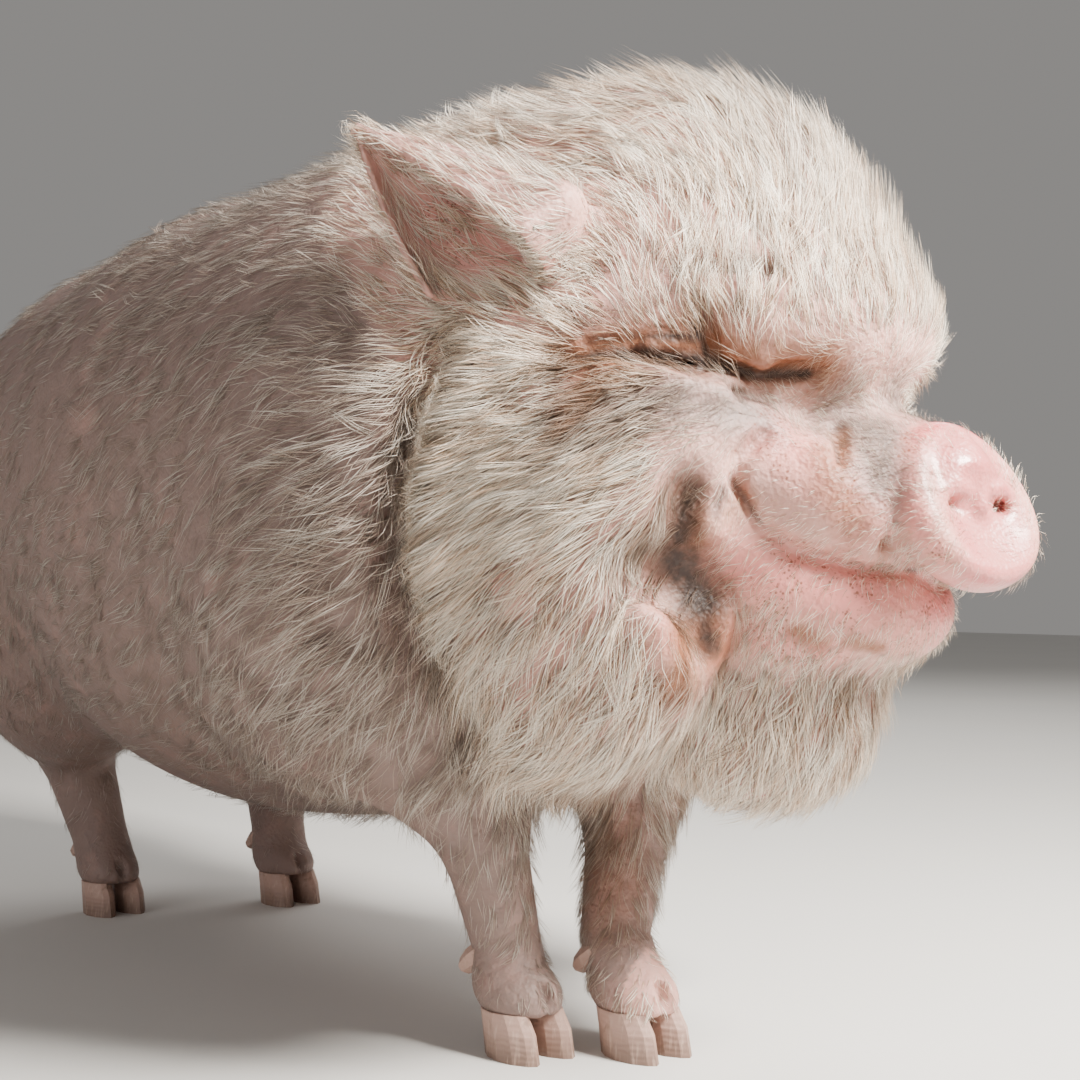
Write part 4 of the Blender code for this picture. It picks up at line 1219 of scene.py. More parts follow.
HEAD_COMBS: tuple[Comb, ...] = (
    Comb((0.425, 0.020, 0.352), (-1, 0.05, 0.25), 0.0065, 0.003, 3.0),
    Comb((0.395, 0.030, 0.378), (-1, 0.10, 0.35), 0.011, 0.004, 2.6),
    Comb((0.405, 0.048, 0.345), (-1, 0.30, 0.20), 0.008, 0.003, 2.6),
    Comb((0.400, 0.000, 0.405), (-0.20, 0, 1), 0.034, 0.009, 1.1),
    Comb((0.365, 0.085, 0.408), (0.05, -0.10, 1), 0.030, 0.008, 1.1),
    Comb((0.380, 0.050, 0.440), (0, -0.05, 1), 0.045, 0.012, 1.1),
    Comb((0.333, 0.109, 0.436), (-0.05, -0.30, 1), 0.042, 0.009, 1.0),
    Comb((0.335, 0.040, 0.515), (-0.60, -0.10, 0.70), 0.048, 0.012, 1.2),
    Comb((0.290, 0.000, 0.555), (-1, 0, -0.05), 0.042, 0.014, 1.2),
    Comb((0.270, 0.090, 0.530), (-0.90, 0.50, 0), 0.042, 0.012, 1.1),
    Comb((0.300, 0.135, 0.455), (-0.80, 0.40, 0.50), 0.032, 0.007, 0.9),
    Comb((0.270, 0.150, 0.440), (-1, 0.30, 0.70), 0.026, 0.006, 0.7),
    Comb((0.338, 0.115, 0.404), (-0.40, 0.20, 0.80), 0.018, 0.007, 0.9),
    Comb((0.345, 0.118, 0.362), (-1, 0.45, -0.50), 0.030, 0.007, 1.2),
    Comb((0.310, 0.150, 0.350), (-1, 0.25, -0.65), 0.040, 0.010, 1.2),
    Comb((0.290, 0.165, 0.330), (-1, 0.20, -0.35), 0.050, 0.012, 1.1),
    Comb((0.240, 0.175, 0.345), (-1, 0.60, -0.30), 0.036, 0.024, 1.3),
    Comb((0.235, 0.178, 0.285), (-0.90, 0.60, -0.60), 0.040, 0.027, 1.3),
    Comb((0.352, 0.125, 0.330), (-1, 0.30, -0.30), 0.030, 0.005, 1.0),
    Comb((0.335, 0.140, 0.250), (-0.45, 0.15, -1), 0.045, 0.009, 1.1),
    Comb((0.290, 0.150, 0.220), (-0.70, 0.10, -0.90), 0.050, 0.011, 1.1),
    Comb((0.250, 0.110, 0.170), (-1, 0.25, -0.30), 0.050, 0.018, 1.2),
    Comb((0.375, 0.065, 0.240), (-0.40, 0.30, -1), 0.012, 0.005, 2.2),
    Comb((0.375, 0.020, 0.210), (-0.20, 0.15, -1), 0.044, 0.010, 1.2),
    Comb((0.330, 0.000, 0.160), (-0.60, 0, -0.80), 0.042, 0.010, 1.0),
    Comb((0.425, 0.030, 0.250), (-0.50, 0.30, -0.60), 0.0065, 0.003, 2.0),
    Comb((0.390, 0.080, 0.320), (-1, 0.30, 0), 0.005, 0.002, 0.35),
    Comb((0.365, 0.100, 0.300), (-0.80, 0.30, -0.50), 0.014, 0.004, 0.8),
    Comb((0.228, 0.172, 0.475), (-0.70, 0.25, 0.65), 0.022, 0.006, 1.5),
    Comb((0.200, 0.150, 0.500), (-0.70, 0.25, 0.65), 0.020, 0.005, 1.3),
    Comb((0.255, 0.150, 0.470), (-0.75, 0.35, 0.60), 0.028, 0.007, 1.5),
)

BODY_COMBS: tuple[Comb, ...] = (
    Comb((0.120, 0.000, 0.550), (-1, 0, 0), 0.042, 0.010, 0.9),
    Comb((0.120, 0.170, 0.420), (-1, 0.10, -0.35), 0.027, 0.004, 0.7),
    Comb((0.120, 0.180, 0.320), (-0.8, 0.10, -0.70), 0.026, 0.004, 0.7),
    Comb((0.050, 0.200, 0.330), (-1, 0.10, -0.60), 0.026, 0.004, 0.55),
    Comb((0.270, 0.030, 0.220), (-0.20, 0.20, -1), 0.038, 0.008, 0.9),
    Comb((0.220, 0.050, 0.170), (-0.30, 0.10, -1), 0.034, 0.008, 0.9),
    Comb((0.000, 0.060, 0.555), (-1, 0.10, 0), 0.030, 0.005, 0.6),
    Comb((-0.200, 0.060, 0.555), (-1, 0.10, 0), 0.028, 0.005, 0.5),
    Comb((-0.100, 0.210, 0.350), (-1, 0, -0.45), 0.024, 0.003, 0.42),
    Comb((-0.250, 0.200, 0.400), (-1, 0, -0.50), 0.024, 0.003, 0.42),
    Comb((-0.100, 0.100, 0.150), (-1, 0.20, 0), 0.024, 0.004, 0.35),
    Comb((-0.450, 0.100, 0.400), (-0.60, 0.20, -0.80), 0.024, 0.003, 0.45),
    Comb((-0.520, 0.000, 0.350), (0, 0.20, -1), 0.024, 0.003, 0.45),
    Comb((-0.350, 0.190, 0.250), (-0.30, 0.10, -1), 0.028, 0.004, 0.42),
    Comb((-0.340, 0.090, 0.120), (-0.15, 0, -1), 0.016, 0.003, 0.5),
    Comb((-0.310, 0.080, 0.045), (-0.30, 0.20, -1), 0.010, 0.002, 0.5),
    Comb((0.200, 0.060, 0.110), (-0.15, 0, -1), 0.018, 0.004, 0.7),
    Comb((0.230, 0.040, 0.045), (-0.30, 0.20, -1), 0.010, 0.003, 0.6),
)


class Lie:
    """The way the coat lies everywhere, blended from the combs of both sides."""

    def __init__(self) -> None:
        """Carry every comb to its place on both sides."""
        places, ways, sizes = [], [], []
        for combs, share in ((HEAD_COMBS, 1), (BODY_COMBS, 0)):
            frame = np.array(turned(share))
            for comb in combs:
                for side in SIDES.values():
                    places.append(moved(frame, np.array(both(comb.place, side))))
                    ways.append(frame[:3, :3] @ unit(np.array(both(comb.way, side))))
                    sizes.append((comb.length, comb.lift, comb.amount))
        self.places = np.array(places)
        self.ways = np.array(ways)
        self.sizes = np.array(sizes)

    def weights(self, points: Array) -> Array:
        """How much each comb counts.

        Args:
            points: Places in the animal's frame.

        Returns:
            One row a place and one column a comb, each row adding up to one.
        """
        squares = (points**2).sum(1)[:, None] + (self.places**2).sum(1) - 2 * points @ self.places.T
        near = 1 / (np.maximum(squares, 0) + COMB_BLEND) ** 2
        return near / near.sum(1, keepdims=True)

    def way(self, points: Array) -> Array:
        """The way of the hair at each place, not yet laid along the skin."""
        return self.weights(points) @ self.ways

    def size(self, points: Array) -> Array:
        """Length, lift and amount at each place, one row a place."""
        return self.weights(points) @ self.sizes


@dataclass
class Skin:
    """One skin over the whole animal."""

    animal: Animal
    made: bpy.types.Object = field(init=False)

    def build(self) -> bpy.types.Object:
        """Turn the clay into the skin and put its markings on.

        Returns:
            The skin.
        """
        points, quads = self.animal.clay.surface()
        keep = self.largest(len(points), quads)
        number = np.cumsum(keep) - 1
        quads = number[quads[keep[quads[:, 0]]]]
        points = points[keep]
        sizes = np.full(len(quads), 4)
        self.made = new_object("skin", points, quads.ravel(), sizes)
        marks = markings(points)
        paint_points(self.made, "marks", marks[:, :4])
        paint_points(self.made, "grey", marks[:, Mark.GREY.value])
        # darker trunk and legs: partly dirt, partly painted shade
        paint_points(self.made, "trunk", trunk_dirt_and_shade(points))
        return self.made

    def largest(self, count: int, quads: Array) -> Array:
        """Which points belong to the largest connected part.

        Args:
            count: Number of points.
            quads: Faces by point number.

        Returns:
            True for each kept point.
        """
        label = np.arange(count)
        for _ in range(4000):
            lowest = label[quads].min(1)
            before = label.copy()
            for corner in range(4):
                np.minimum.at(label, quads[:, corner], lowest)
            label = label[label]
            if np.array_equal(before, label):
                break
        values, counts = np.unique(label, return_counts=True)
        return label == values[counts.argmax()]


class Unwrap:
    """A flat map of the skin's own shape, read at any place on it."""

    def __init__(self, skin: bpy.types.Object, faces: int = 9000) -> None:
        """Unwrap a lighter copy of the skin.

        Args:
            skin: The skin.
            faces: About how many faces the copy keeps.
        """
        copy = skin.copy()
        copy.data = skin.data.copy()
        bpy.context.scene.collection.objects.link(copy)
        change = copy.modifiers.new("lighter", "DECIMATE")
        change.ratio = faces / (2 * len(copy.data.polygons))
        change.use_collapse_triangulate = True
        graph = bpy.context.evaluated_depsgraph_get()
        mesh = bpy.data.meshes.new_from_object(copy.evaluated_get(graph))
        copy.modifiers.clear()
        copy.data = mesh
        bpy.context.view_layer.objects.active = copy
        copy.select_set(True)
        bpy.ops.object.mode_set(mode="EDIT")
        bpy.ops.mesh.select_all(action="SELECT")
        bpy.ops.uv.smart_project(angle_limit=math.radians(66), island_margin=0.004)
        bpy.ops.object.mode_set(mode="OBJECT")
        mesh = copy.data
        flat = np.zeros(len(mesh.loops) * 2, np.float32)
        mesh.uv_layers.active.data.foreach_get("uv", flat)
        self.flat = flat.reshape(-1, 3, 2)
        self.places, corners = read_mesh(mesh)
        self.faces = corners.reshape(-1, 3)
        self.tree = BVHTree.FromPolygons(self.places.tolist(), self.faces.tolist())
        bpy.data.objects.remove(copy)

    def read(self, points: Array) -> Array:
        """Places on the flat map.

        Args:
            points: Places on the skin.

        Returns:
            One pair for each place.
        """
        found = [self.tree.find_nearest(Vector(p)) for p in points]
        number = np.array([f[2] for f in found])
        near = np.array([f[0] for f in found])
        a, b, c = (self.places[self.faces[number, k]] for k in range(3))
        whole = np.linalg.norm(np.cross(b - a, c - a), axis=1)
        shares = [
            np.linalg.norm(np.cross(p - near, q - near), axis=1) / np.maximum(whole, 1e-12)
            for p, q in ((b, c), (c, a), (a, b))
        ]
        return sum(share[:, None] * self.flat[number, k] for k, share in enumerate(shares))


@dataclass(frozen=True)
class Region:
    """A block of places on the head or, where head is off, on the whole animal, on one side or both."""

    low: Point
    high: Point
    side: int = 0
    head: bool = True


@dataclass(frozen=True)
class CoatPart:
    """One mesh of the coat: its name, tufts, the hairs in each, their width and steps, and its region."""

    name: str
    tufts: int
    hairs: int
    width: float
    rings: int
    region: Region
    spread: float = 0.006
    wild: float = 0.25
    clump: float = 0.62


@dataclass
class Coat:
    """All the hair, as fine tapered blades in tufts rooted in the skin."""

    skin: Skin
    clay: Clay
    lie: Lie
    unwrap: Unwrap
    parts: tuple[CoatPart, ...]
    cling: float = 0.45
    sink: float = 0.0012
    highest: float = 0.030
    droop: float = 0.25
    thickness: float = 0.42

    def prepare(self) -> None:
        """Gather the skin's faces as places to grow from."""
        places, corners = read_mesh(self.skin.made.data)
        self.quads = places[corners.reshape(-1, 4)]
        first, second = self.quads[:, 2] - self.quads[:, 0], self.quads[:, 3] - self.quads[:, 1]
        areas = np.linalg.norm(np.cross(first, second), axis=1) / 2
        self.centres = self.quads.mean(1)
        self.taken = np.zeros(len(self.quads), bool)
        self.local = moved(np.linalg.inv(np.array(turned(1))), self.centres)
        bare = markings(self.centres)[:, Mark.BARE.value]
        sole = smooth_step((self.centres[:, 2] - HOOF_HEIGHT) / 0.008)
        self.growth = areas * self.lie.size(self.centres)[:, 2] * (1 - bare) * sole

    def inside(self, part: CoatPart) -> Array:
        """Which faces of the skin a part of the coat grows on.

        Args:
            part: The part.

        Returns:
            True for each face in its region that no earlier part has taken.
        """
        region = part.region
        places = self.local if region.head else self.centres
        within = np.all((places >= region.low) & (places < region.high), axis=1)
        if region.side:
            within &= places[:, 1] * region.side > 0
        return within & ~self.taken

    def build(self) -> list[bpy.types.Object]:
        """Grow every part.

        Returns:
            The coat's pieces.
        """
        self.prepare()
        made = []
        for number, part in enumerate(self.parts):
            within = self.inside(part)
            self.taken |= within
            made.append(self.grow(part, within, np.random.default_rng(SEED + number)))
            log.info("%s: %d tufts of %d hairs", part.name, part.tufts, part.hairs)
        return made

    def grow(self, part: CoatPart, within: Array, random: np.random.Generator) -> bpy.types.Object:
        """Grow one part of the coat.

        Args:
            part: What to grow.
            within: True for each face that it grows on.
            random: Seeded chance.

        Returns:
            The part's mesh object.
        """
        chance = np.where(within, self.growth, 0)
        chosen = random.choice(len(chance), part.tufts, p=chance / chance.sum())
        across_face, along_face = random.random((2, part.tufts, 1))
        quads = self.quads[chosen]
        front = quads[:, 0] * (1 - across_face) + quads[:, 1] * across_face
        back = quads[:, 3] * (1 - across_face) + quads[:, 2] * across_face
        tufts = front * (1 - along_face) + back * along_face
        count = part.tufts * part.hairs
        owner = np.repeat(np.arange(part.tufts), part.hairs)
        size = self.lie.size(tufts)
        size[:, :2] *= random.uniform(0.7, 1.2, (part.tufts, 1))
        size[:, 1] *= random.uniform(0.4, 1.6, part.tufts)
        turn = random.normal(0, part.wild, part.tufts)
        bend = random.normal(0, part.wild * 1.3, part.tufts)
        scatter = random.normal(0, part.spread / 2, (count, 3))
        roots = tufts[owner] + scatter
        for _ in range(3):
            roots -= self.clay.slope(roots) * self.clay.sample(roots)[:, None] * 0.9
        own = random.normal(0, 0.06 + part.wild * 0.2, count)
        length = size[owner, 0] * random.uniform(0.75, 1.15, count)
        lift = np.minimum(size[owner, 1] * random.uniform(0.7, 1.3, count), self.highest)
        path, normals = self.trace(roots, length, lift, (turn[owner] + own, bend[owner]), part.rings)
        path = self.gather(path, owner, part)
        return self.mesh(part, path, normals, owner, tufts, random)

    def trace(
        self, roots: Array, length: Array, lift: Array, turns: tuple[Array, Array], rings: int
    ) -> tuple[Array, Array]:
        """Follow the lie of the coat over the skin from each root.

        Args:
            roots: Where the hairs start.
            length: How long each one is.
            lift: How far its tip stands off.
            turns: How far each strays from the lie at its root, and further to its tip, in radians.
            rings: Number of steps.

        Returns:
            The places along each hair and the skin's outward way there.
        """
        point = roots.copy()
        normal = self.clay.slope(point)
        path, normals = [point - normal * self.sink], [normal]
        for step in range(1, rings + 1):
            share = step / rings
            way = self.lie.way(point)
            way[:, 2] -= self.droop * share
            ahead = unit(way - normal * across(way, normal))
            angle = (turns[0] + turns[1] * share)[:, None]
            ahead = ahead * np.cos(angle) + np.cross(normal, ahead) * np.sin(angle)
            point = point + ahead * (length / rings)[:, None]
            normal = self.clay.slope(point)
            excess = self.clay.sample(point) - lift * share**1.2
            pull = np.where(excess < 0, excess, excess * self.cling * (1 - 0.6 * share))
            point = point - normal * pull[:, None]
            path.append(point)
            normals.append(normal)
        return np.stack(path, 1), np.stack(normals, 1)

    def gather(self, path: Array, owner: Array, part: CoatPart) -> Array:
        """Draw the tips of each tuft's hairs together.

        Args:
            path: Places along each hair.
            owner: The tuft of each hair.
            part: What is grown.

        Returns:
            The places, moved towards the middle of their tuft.
        """
        means = path.reshape(part.tufts, part.hairs, -1, 3).mean(1)[owner]
        shares = np.linspace(0, 1, path.shape[1])[None, :, None]
        return path + (means - path) * part.clump * shares**1.3

    def mesh(
        self, part: CoatPart, path: Array, normals: Array, owner: Array, tufts: Array,
        random: np.random.Generator,
    ) -> bpy.types.Object:
        """Make three-sided tapered blades along the paths, with their map and markings.

        Args:
            part: What is grown.
            path: Places along each hair.
            normals: The skin's outward way there.
            owner: The tuft of each hair.
            tufts: Where the tufts are rooted.
            random: Seeded chance.

        Returns:
            The mesh object.
        """
        count, points = path.shape[:2]
        rings = points - 1
        ahead = unit(np.gradient(path, axis=1))
        side = unit(np.cross(normals, ahead))
        shares = np.linspace(0, 1, points)
        taper = np.interp(shares, (0, 0.25, 0.6, 1), (0.8, 1.0, 0.72, 0))
        wide = part.width * taper[None, :, None] * random.uniform(0.6, 1.4, (count, 1, 1))
        left = path - side * wide / 2
        top = path + np.cross(ahead, side) * -wide * self.thickness
        right = path + side * wide / 2
        body = np.stack((left, top, right), 2)[:, :rings].reshape(count, -1, 3)
        vertices = np.concatenate((body, path[:, -1:]), 1)
        each = vertices.shape[1]
        faces, sizes = [], []
        for ring in range(rings - 1):
            for k in range(3):
                a, b = ring * 3 + k, ring * 3 + (k + 1) % 3
                faces += [a, b, b + 3, a + 3]
                sizes.append(4)
        for k in range(3):
            faces += [(rings - 1) * 3 + k, (rings - 1) * 3 + (k + 1) % 3, each - 1]
            sizes.append(3)
        pattern = np.array(faces)
        loops = (pattern[None] + (np.arange(count) * each)[:, None]).ravel()
        made = new_object(part.name, vertices.reshape(-1, 3), loops, np.tile(sizes, count))
        along = np.append(np.repeat(shares[:rings], 3), 1.0)
        sideways = np.append(np.tile((-0.5, 0.0, 0.5), rings), 0.0)
        self.map(made, pattern, along, sideways, owner, tufts, random)
        rooted = markings(tufts)[owner][:, None]
        reached = markings(path[:, points // 2])[:, None] if part.region.head else rooted
        blend = np.clip(along * 2, 0, 1)[None, :, None]
        marks = (rooted + (reached - rooted) * blend).reshape(count * each, -1)
        paint_points(made, "marks", marks[:, :4])
        paint_points(made, "grey", marks[:, Mark.GREY.value])
        paint_points(made, "share", np.tile(along, count))
        # darker hair on the trunk and legs: partly dirt, partly painted shade
        trunk = trunk_dirt_and_shade(tufts)[owner]
        paint_points(made, "trunk", np.repeat(trunk, each))
        tone = random.random(part.tufts)[owner] * 0.5 + random.random(count) * 0.5
        paint_points(made, "tone", np.repeat(tone, each))
        return made

    def map(
        self, made: bpy.types.Object, pattern: Array, along: Array, sideways: Array, owner: Array,
        tufts: Array, random: np.random.Generator,
    ) -> None:
        """Give every tuft a small patch of the skin's flat map, at its root's place.

        Args:
            made: The mesh object.
            pattern: Corner numbers of one hair.
            along: Share of the hair's length at each of its points.
            sideways: Share of its width there.
            owner: The tuft of each hair.
            tufts: Where the tufts are rooted.
            random: Seeded chance.
        """
        corner = self.unwrap.read(tufts)[owner]
        column = random.random(len(owner))
        u = corner[:, :1] + (column[:, None] - 0.5 + sideways[None] * 0.3) * TUFT_PATCH
        v = corner[:, 1:] + (along[None] - 0.5) * TUFT_PATCH
        flat = np.stack((u, v), -1)[:, pattern]
        layer = made.data.uv_layers.new(name=BAKE_MAP)
        layer.data.foreach_set("uv", np.clip(flat, 0, 1).astype(np.float32).ravel())


RIGHT_EAR = Region((0.0, -1, 0.425), (0.282, -0.125, 1))
LEFT_EAR = Region((0.0, 0.125, 0.425), (0.282, 1, 1))
CHEEK = ((0.23, -1, 0.29), (0.40, 1, 0.45))
JOWL = ((0.205, -1, 0.0), (0.40, 1, 0.42))
TAIL = Region((-1, -0.03, 0.0), (-0.53, 0.03, 0.42), head=False)
SHOULDER = ((0.0, -1, 0.0), (1, 1, 1))
ALL_OVER = ((-1, -1, 0.0), (1, 1, 1))
PARTS: tuple[CoatPart, ...] = (
    CoatPart("coat_muzzle", 3000, 4, 0.00027, 2, Region((0.345, -1, 0.225), (1, 1, 0.400)), clump=0.0),
    CoatPart("coat_beard", 850, 7, 0.00044, 3, Region((0.285, -0.085, 0.0), (1, 0.085, 0.250)), wild=0.22),
    CoatPart("coat_ear_right", 750, 5, 0.0004, 3, RIGHT_EAR, wild=0.22, clump=0.3),
    CoatPart("coat_ear_left", 650, 5, 0.0004, 3, LEFT_EAR, wild=0.22, clump=0.3),
    CoatPart("coat_brow", 1300, 7, 0.00042, 3, Region((0.30, -1, 0.395), (1, 1, 0.50)), wild=0.20),
    CoatPart("coat_crown", 1200, 7, 0.00046, 3, Region((0.17, -0.16, 0.45), (1, 0.16, 1)), 0.007, 0.35),
    CoatPart("coat_cheek_right", 1150, 7, 0.0004, 4, Region(*CHEEK, side=-1), wild=0.17),
    CoatPart("coat_cheek_left", 1050, 7, 0.0004, 3, Region(*CHEEK, side=1), wild=0.17),
    CoatPart("coat_jowl_right", 1150, 7, 0.00042, 4, Region(*JOWL, side=-1), 0.007, 0.20),
    CoatPart("coat_jowl_left", 1050, 7, 0.00042, 3, Region(*JOWL, side=1), 0.007, 0.20),
    CoatPart("coat_legs", 1500, 4, 0.0004, 2, Region((-1, -1, 0.0), (1, 1, 0.16), head=False), clump=0.3),
    CoatPart("coat_tail", 160, 7, 0.0006, 3, TAIL, wild=0.15),
    CoatPart("coat_shoulder_right", 1400, 5, 0.00052, 2, Region(*SHOULDER, side=-1, head=False), 0.008),
    CoatPart("coat_shoulder_left", 1300, 5, 0.00052, 2, Region(*SHOULDER, side=1, head=False), 0.008),
    CoatPart("coat_flank_right", 2000, 5, 0.00052, 2, Region(*ALL_OVER, side=-1, head=False), 0.009),
    CoatPart("coat_flank_left", 2000, 5, 0.00052, 2, Region(*ALL_OVER, side=1, head=False), 0.009),
)


@dataclass(frozen=True)
class SkinFinish:
    """Pink skin with pores and stains, painted shade in its creases, and a trunk darker from dirt and painted
    shade.
    """

    pale: Point = (0.60, 0.33, 0.275)
    # the trunk and legs: partly a dirtier skin, partly painted shade
    body: Point = (0.215, 0.145, 0.125)
    grey: Point = (0.130, 0.098, 0.085)
    pink: Point = (0.74, 0.270, 0.235)
    stain: Point = (0.215, 0.072, 0.024)
    # painted shade for the creases, nostrils and mouth
    dark: Point = (0.030, 0.014, 0.009)
    speck: Point = (0.17, 0.045, 0.014)
    middle: Point = (0.58, 0.200, 0.185)
    rim: Point = (0.56, 0.105, 0.110)

    def material(self) -> bpy.types.Material:
        """Build the finish.

        Returns:
            The skin's material.
        """
        g = Graph("skin")
        stain, dark, pink = g.split(g.attribute("marks", "Color"))
        wet = g.attribute("marks", "Alpha")
        patch = g.noise(28, 5, 0.6)
        fine = g.noise(220, 4, 0.6)
        trunk = g.attribute("trunk")
        # darker on the trunk and legs: partly dirt, partly painted shade
        base = g.mix((patch - 0.5) * 1.2 + trunk * 0.9 + 0.15, self.pale, self.body)
        base = g.mix((pink + (patch - 0.5) * 0.5) * pink.rise(0.0, 0.3), base, self.pink)
        base = g.mix((g.attribute("grey") * (patch + 0.45)).clamp() * 0.9, base, self.grey)
        pad = g.mix(pink.rise(0.62, 0.95), self.middle, self.rim)
        pad = g.mix(patch.rise(0.5, 0.7) * 0.35, pad, self.rim)
        base = g.mix(wet.rise(0.2, 0.6) * (1 - stain), base, pad)
        speck = 1 - g.cells(430).rise(0.14, 0.46)
        speck = (speck + g.noise(240, 4, 0.7).rise(0.56, 0.66) * 0.8).clamp()
        speck = speck * g.noise(34, 5, 0.75).rise(0.47, 0.57) * (pink - wet).rise(0.10, 0.4)
        base = g.mix(speck * 0.85, base, self.speck)
        edge = (stain + (fine - 0.5) * 0.7 + (patch - 0.5) * 0.6) * stain.rise(0.0, 0.25)
        base = g.mix(edge.clamp() * 0.92, base, self.stain)
        # painted shade, near black, in the creases, nostrils and mouth
        crease_shade_mask = (dark + (fine - 0.5) * 0.6 + (patch - 0.5) * 0.7) * dark.rise(0.0, 0.35)
        base = g.mix(crease_shade_mask.clamp(), base, self.dark)
        wrinkle = g.cells(95, "DISTANCE_TO_EDGE").rise(0.0, 0.22)
        height = (wrinkle * 0.22 + g.noise(70, 3) * 1.1) * (1 - wet) + g.cells(420) * 0.3 + fine * 0.45
        rough = (0.62 - pink * 0.12 - wet * 0.22 + (fine - 0.5) * 0.2).clamp()
        return g.finish(
            Base_Color=base, Roughness=rough, Normal=g.bump(height, 0.0014, 0.8),
            Coat_Weight=(wet * (patch + 0.1)).clamp(), Coat_Roughness=0.16,
            Subsurface_Weight=0.12, Subsurface_Scale=0.01, Subsurface_Radius=(1.0, 0.35, 0.2),
        )


@dataclass(frozen=True)
class CoatFinish:
    """Cream-white bristle, stained where the skin is, with painted shade towards its root and over the
    creases, and a trunk darker from dirt and painted shade.
    """

    # painted shade near the skin, where the hairs cover each other; it also greys the hair over the bridge
    root: Point = (0.20, 0.120, 0.090)
    tip: Point = (0.88, 0.68, 0.51)
    pale: Point = (0.99, 0.92, 0.80)
    gold: Point = (0.60, 0.38, 0.21)
    shade: Point = (0.105, 0.070, 0.053)
    # the trunk's hair: partly dirt, partly painted shade
    trunk: Point = (0.200, 0.148, 0.122)
    stain: Point = (0.25, 0.105, 0.040)
    # painted shade on the hair over the creases
    dark: Point = (0.035, 0.020, 0.013)

    def material(self) -> bpy.types.Material:
        """Build the finish.

        Returns:
            The coat's material.
        """
        g = Graph("coat")
        stain, dark, _ = g.split(g.attribute("marks", "Color"))
        share = g.attribute("share")
        tone = g.attribute("tone")
        hair = g.mix(tone.rise(0.30, 0.75), self.tip, self.pale)
        hair = g.mix((1 - tone.rise(0.24, 0.42)) * 0.7, hair, self.gold)
        hair = g.mix((1 - tone.rise(0.12, 0.30)) * 0.8, hair, self.shade)
        # painted shade: each hair darker towards its root
        hair = g.mix((1 - share.rise(0.0, 0.7)) * 0.8, hair, self.root)
        hair = g.mix(g.attribute("grey") * (1 - share.rise(0.3, 1.0)) * 0.85, hair, self.shade)
        hair = g.mix(g.attribute("grey") * 0.45, hair, self.root)
        # darker on the trunk and legs: partly dirt, partly painted shade
        hair = g.mix(g.attribute("trunk") * (1.0 - tone * 0.55), hair, self.trunk)
        patch = g.noise(60, 3) - 0.5
        hair = g.mix(((stain + patch * 0.5) * stain.rise(0.0, 0.2)).clamp() * 0.85, hair, self.stain)
        # painted shade on hairs over the creases, nostrils and mouth
        hair = g.mix((dark + patch * 0.4).clamp() * dark.rise(0.0, 0.2) * 0.9, hair, self.dark)
        return g.finish(Base_Color=hair, Roughness=0.48 + tone * 0.12, Sheen_Weight=0.05, Sheen_Roughness=0.4)


@dataclass(frozen=True)
class HornFinish:
    """Brownish pink horn of the claws, streaked downwards, darker towards the sole and in patches."""

    high: Point = (0.42, 0.27, 0.22)
    low: Point = (0.20, 0.125, 0.095)
    streak: Point = (0.55, 0.40, 0.32)

    def material(self) -> bpy.types.Material:
        """Build the finish.

        Returns:
            The claws' material.
        """
        g = Graph("horn")
        height = g.node("ShaderNodeSeparateXYZ", {}, {0: g.places()}, 2)
        values = {0: g.places(), 1: (1, 1, 0.12)}
        stretched = g.node("ShaderNodeVectorMath", {"operation": "MULTIPLY"}, values)
        lines = g.node("ShaderNodeTexNoise", {}, {"Vector": stretched, "Scale": 420.0, "Detail": 3.0})
        values = {"Vector": g.places(), "Scale": 95.0, "Distortion": 2.5}
        rings = g.node("ShaderNodeTexWave", {"bands_direction": "Z"}, values)
        base = g.mix(height.rise(0.0, 0.022), self.low, self.high)
        base = g.mix(lines.rise(0.5, 0.75) * 0.5, base, self.streak)
        base = g.mix(g.noise(160, 4).rise(0.56, 0.72) * 0.6, base, self.low)
        relief = lines * 0.7 + rings * 0.4
        return g.finish(Base_Color=base, Roughness=0.42 + lines * 0.25, Normal=g.bump(relief, 0.0006, 0.6))


@dataclass(frozen=True)
class EyeFinish:
    """A dark wet eye."""

    brown: Point = (0.045, 0.020, 0.010)
    black: Point = (0.006, 0.004, 0.004)

    def material(self) -> bpy.types.Material:
        """Build the finish.

        Returns:
            The eyes' material.
        """
        g = Graph("eye")
        base = g.mix(g.noise(180, 3).rise(0.4, 0.6), self.brown, self.black)
        rough = 0.06 + g.noise(300, 2) * 0.06
        return g.finish(Base_Color=base, Roughness=rough, Coat_Weight=1.0, Coat_Roughness=0.03)


@dataclass(frozen=True)
class FloorFinish:
    """A plain pale floor."""

    colour: Point = (0.62, 0.61, 0.59)

    def material(self) -> bpy.types.Material:
        """Build the finish.

        Returns:
            The floor's material.
        """
        g = Graph("floor")
        darker = tuple(c * 0.94 for c in self.colour)
        return g.finish(Base_Color=g.mix(g.noise(3, 2), self.colour, darker), Roughness=0.75)


@dataclass(frozen=True)
class Lamp:
    """A square soft light: its name, where it hangs, its width, watts and tint."""

    name: str
    place: Point
    size: float
    power: float
    colour: Point


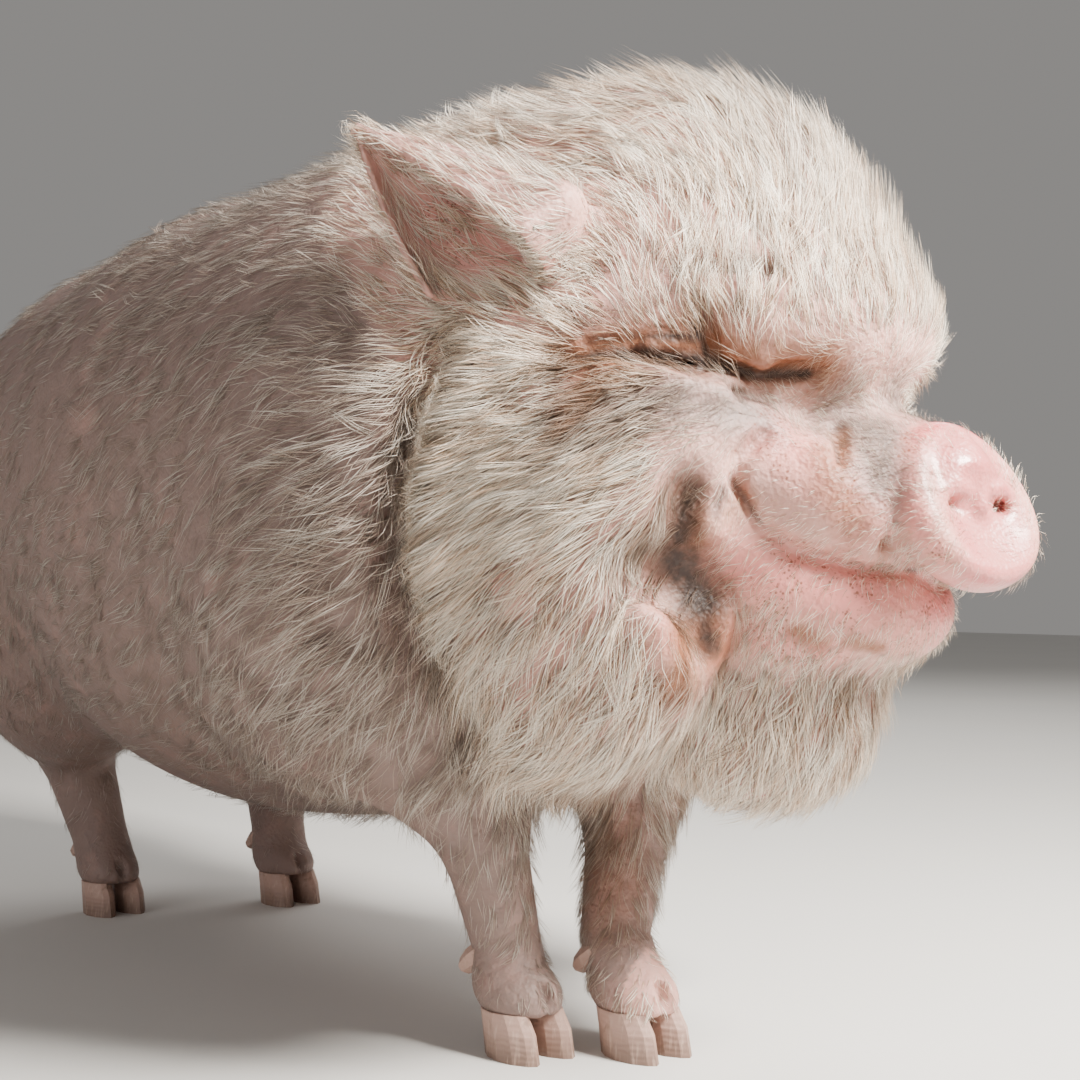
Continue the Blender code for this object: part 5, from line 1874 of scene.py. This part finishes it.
@dataclass(frozen=True)
class Studio:
    """Pale floor, soft lights and the camera."""

    lamps: tuple[Lamp, ...] = (
        Lamp("key", (1.27, 0.42, 1.20), 0.45, 132, (1.0, 0.95, 0.88)),
        Lamp("fill", (0.3, -2.4, 1.1), 2.0, 20, (1.0, 0.96, 0.93)),
        Lamp("back", (-1.4, 1.8, 2.4), 1.6, 55, (1.0, 0.97, 0.93)),
    )
    lit_place: Point = (0.1, 0, 0.3)
    sky_colour: Point = (0.90, 0.87, 0.84)
    sky_strength: float = 0.30
    camera_place: Point = (0.9654 + CENTRING[0], -0.6170, 0.27)
    camera_turn: float = 52.0
    focal_length: float = 54.1
    sensor: float = 36.0
    horizon_drop: float = 45 / 1080
    floor_size: float = 14.0

    def build(self) -> None:
        """Put up the floor, the lights and the camera."""
        self.floor()
        for lamp in self.lamps:
            self.light(lamp)
        world = bpy.data.worlds.new("studio")
        world.use_nodes = True
        colour, strength = world.node_tree.nodes["Background"].inputs[:2]
        colour.default_value = (*self.sky_colour, 1)
        strength.default_value = self.sky_strength
        bpy.context.scene.world = world
        self.camera()

    def floor(self) -> None:
        """A wide pale floor."""
        half = self.floor_size / 2
        corners = np.array([(-half, -half, 0), (half, -half, 0), (half, half, 0), (-half, half, 0)])
        made = new_object("floor", corners - np.array(CENTRING), np.arange(4), np.array([4]))
        made.data.materials.append(FloorFinish().material())
        made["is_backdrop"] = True

    def light(self, lamp: Lamp) -> None:
        """Hang a lamp that looks at the animal.

        Args:
            lamp: What to hang, and where.
        """
        source = bpy.data.lights.new(lamp.name, "AREA")
        source.size, source.energy, source.color = lamp.size, lamp.power, lamp.colour
        made = bpy.data.objects.new(lamp.name, source)
        made.location = lamp.place
        way = Vector(self.lit_place) - Vector(lamp.place)
        made.rotation_euler = way.to_track_quat("-Z", "Y").to_euler()
        bpy.context.scene.collection.objects.link(made)

    def camera(self) -> None:
        """A level camera off the right of the nose, below the height of the eyes."""
        lens = bpy.data.cameras.new("camera")
        lens.lens = self.focal_length
        lens.sensor_width = self.sensor
        lens.shift_y = self.horizon_drop
        lens.clip_start = 0.02
        made = bpy.data.objects.new("camera", lens)
        made.location = self.camera_place
        made.rotation_euler = (math.pi / 2, 0, math.radians(self.camera_turn))
        bpy.context.scene.collection.objects.link(made)
        bpy.context.scene.camera = made


def dress(made: bpy.types.Object, material: bpy.types.Material) -> None:
    """Give an object one material in place of any it had."""
    made.data.materials.clear()
    made.data.materials.append(material)


CELLS = (0.0025, 0.0058)
FLESH: tuple[str, ...] = (
    "torso", "neck", "head", "snout", "tail", "ear_left", "ear_right",
    "leg_front_left", "leg_front_right", "leg_hind_left", "leg_hind_right",
)


def main(frame: dict[str, Any], packed_box: Any) -> None:
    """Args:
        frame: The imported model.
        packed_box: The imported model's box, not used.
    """
    animal = Animal(*CELLS)
    clay = animal.shape()
    log.info("clay: %s cells", clay.field.shape)
    skin = Skin(animal)
    hide = skin.build()
    dress(hide, SkinFinish().material())
    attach(hide, "root")
    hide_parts(*FLESH)
    log.info("skin: %d faces", len(hide.data.polygons))
    coat = Coat(skin, clay, Lie(), Unwrap(hide), PARTS)
    hair = CoatFinish().material()
    for piece in coat.build():
        dress(piece, hair)
        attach(piece, "root")
    horn, eye = HornFinish().material(), EyeFinish().material()
    for name, node in frame["nodes"].items():
        if name.startswith(("hoof", "dewclaw")):
            dress(node, horn)
        if name.startswith("eye"):
            dress(node, eye)
    log.info("claws and eyes: horn and wet eyes on their nodes")
    Studio().build()
    log.info("studio: floor, lights and camera")


if __name__ == "__main__":
    logging.basicConfig(level=logging.INFO, format="%(name)s: %(message)s")
    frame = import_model()
    main(frame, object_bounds())
